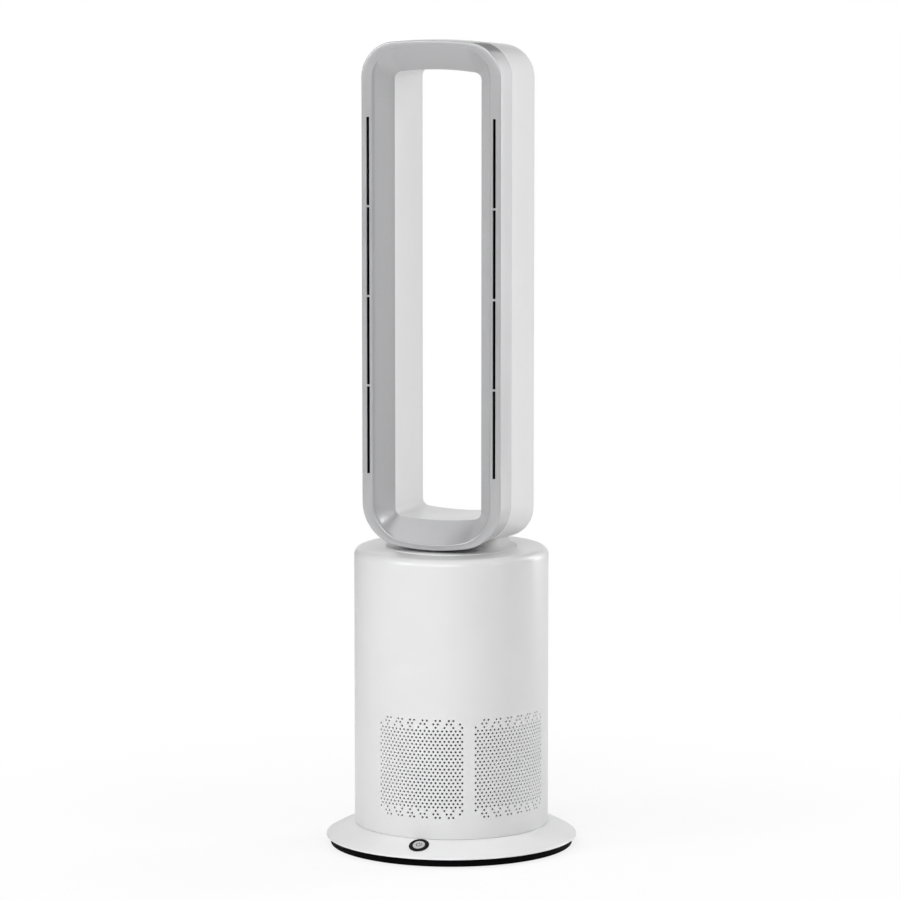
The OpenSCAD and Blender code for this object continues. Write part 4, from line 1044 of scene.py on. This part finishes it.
@dataclass
class Studio:
    """The floor, the lamps and the camera. Lengths are in metres, angles in degrees, the lens in mm."""

    distance: float = 5.1863
    height: float = 1.1391
    turn: float = 19.668
    tilt: float = 7.317
    lens: float = 175.95
    shift: Point = (-0.00156, 0.00133)
    sensor: float = 36.0
    clip: Point = (0.5, 60.0)
    world_level: float = 0.15
    floor_size: float = 14.0
    floor_glow: float = 0.8
    # Between these distances from the axis the floor fades to full white
    floor_fade: Point = (0.18, 0.75)
    aim: float = 0.5
    lamps: tuple[Lamp, ...] = (
        Lamp("key_left", -40.0, 1.9, 3.0, (0.9, 1.6), 35.0),
        Lamp("key_middle", -14.0, 1.9, 3.0, (0.9, 1.6), 9.0),
        Lamp("key_right", 12.0, 1.9, 3.0, (1.5, 1.6), 36.0),
        Lamp("side_right", 75.0, 1.2, 3.0, (0.6, 2.3), 6.0),
        Lamp("glint_right", 80.0, 2.6, 3.0, (0.5, 0.5), 8.0),
        Lamp("rim_right", 140.0, 1.2, 3.0, (0.8, 2.3), 32.0),
        Lamp("back_right", 165.0, 1.2, 3.0, (1.0, 2.6), 6.0),
        Lamp("back_left", -160.0, 0.9, 3.0, (2.4, 1.6), 9.0),
        Lamp("overhead", 0.0, 3.2, 0.1, (2.8, 2.8), 26.0),
    )

    def _floor(self) -> None:
        """Adds a pale floor that stays white to the camera and keeps a soft shadow."""
        bm = bmesh.new()
        bmesh.ops.create_grid(bm, x_segments=1, y_segments=1, size=self.floor_size)
        floor = new_object("floor", bm)
        material = bpy.data.materials.new("studio_floor")
        material.use_nodes = True
        tree = material.node_tree
        tree.nodes.remove(tree.nodes["Principled BSDF"])
        paint = add_node(tree, "ShaderNodeBsdfDiffuse", {"Color": linear("#FFFFFF")}).outputs["BSDF"]
        glow = add_node(
            tree, "ShaderNodeEmission", {"Color": linear("#FFFFFF"), "Strength": 1.0}
        ).outputs["Emission"]
        seen = add_node(tree, "ShaderNodeLightPath").outputs["Is Camera Ray"]
        place = add_node(tree, "ShaderNodeTexCoord").outputs["Object"]
        away = add_node(tree, "ShaderNodeVectorMath", {"operation": "LENGTH"}, {0: place}).outputs["Value"]
        fade = add_node(
            tree, "ShaderNodeMapRange",
            {"From Min": self.floor_fade[0], "From Max": self.floor_fade[1], "To Min": self.floor_glow,
             "To Max": 1.0}, {"Value": away},
        ).outputs["Result"]
        share = add_node(tree, "ShaderNodeMath", {"operation": "MULTIPLY"}, {0: seen, 1: fade}).outputs["Value"]
        mixed = add_node(tree, "ShaderNodeMixShader", links={"Fac": share, 1: paint, 2: glow}).outputs["Shader"]
        tree.links.new(mixed, tree.nodes["Material Output"].inputs["Surface"])
        floor.data.materials.append(material)

    def _world(self) -> None:
        """Sets a plain world: white to the camera and to transmission, softer as light."""
        world = bpy.data.worlds.new("studio_world")
        bpy.context.scene.world = world
        world.use_nodes = True
        tree = world.node_tree
        tree.nodes.clear()
        path = add_node(tree, "ShaderNodeLightPath")
        seen = add_node(
            tree, "ShaderNodeMath", {"operation": "MAXIMUM"},
            {0: path.outputs["Is Camera Ray"], 1: path.outputs["Is Transmission Ray"]},
        ).outputs["Value"]
        light = add_node(
            tree, "ShaderNodeBackground", {"Color": linear("#FFFFFF"), "Strength": self.world_level}
        )
        white = add_node(tree, "ShaderNodeBackground", {"Color": linear("#FFFFFF"), "Strength": 1.0})
        mixed = add_node(
            tree, "ShaderNodeMixShader",
            links={"Fac": seen, 1: light.outputs["Background"], 2: white.outputs["Background"]},
        ).outputs["Shader"]
        add_node(tree, "ShaderNodeOutputWorld", links={"Surface": mixed})

    def _light(self, lamp: Lamp) -> None:
        """Adds one soft box.

        Args:
            lamp: Its name, place, size and power.
        """
        data = bpy.data.lights.new(lamp.name, "AREA")
        data.shape = "RECTANGLE"
        data.size, data.size_y = lamp.size
        data.energy = lamp.watts
        box = bpy.data.objects.new(lamp.name, data)
        bpy.context.scene.collection.objects.link(box)
        angle = math.radians(lamp.turn)
        box.location = (lamp.reach * math.sin(angle), -lamp.reach * math.cos(angle), lamp.lift)
        look = Vector((0, 0, self.aim)) - box.location
        box.rotation_euler = look.to_track_quat("-Z", "Y").to_euler()

    def _camera(self) -> None:
        """Adds the camera at the photograph's place."""
        data = bpy.data.cameras.new("camera")
        data.lens = self.lens
        data.sensor_width = self.sensor
        data.shift_x, data.shift_y = self.shift
        data.clip_start, data.clip_end = self.clip
        camera = bpy.data.objects.new("camera", data)
        bpy.context.scene.collection.objects.link(camera)
        turn = math.radians(self.turn)
        camera.location = (self.distance * math.sin(turn), -self.distance * math.cos(turn), self.height)
        camera.rotation_euler = (math.radians(90 - self.tilt), 0, turn)
        bpy.context.scene.camera = camera

    def build(self) -> None:
        """Sets up the whole studio."""
        self._floor()
        self._world()
        for lamp in self.lamps:
            self._light(lamp)
        self._camera()
        bpy.context.scene.view_settings.view_transform = "Standard"
        log.info("studio: ready")


def main() -> None:
    """Builds every part of the scene."""
    logging.basicConfig(level=logging.INFO, format="%(name)s: %(message)s")
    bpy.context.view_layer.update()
    Studio().build()
    Casing().build()
    Loop().build()
    Base().build()
    Dressing().apply()


if __name__ == "__main__":
    main()
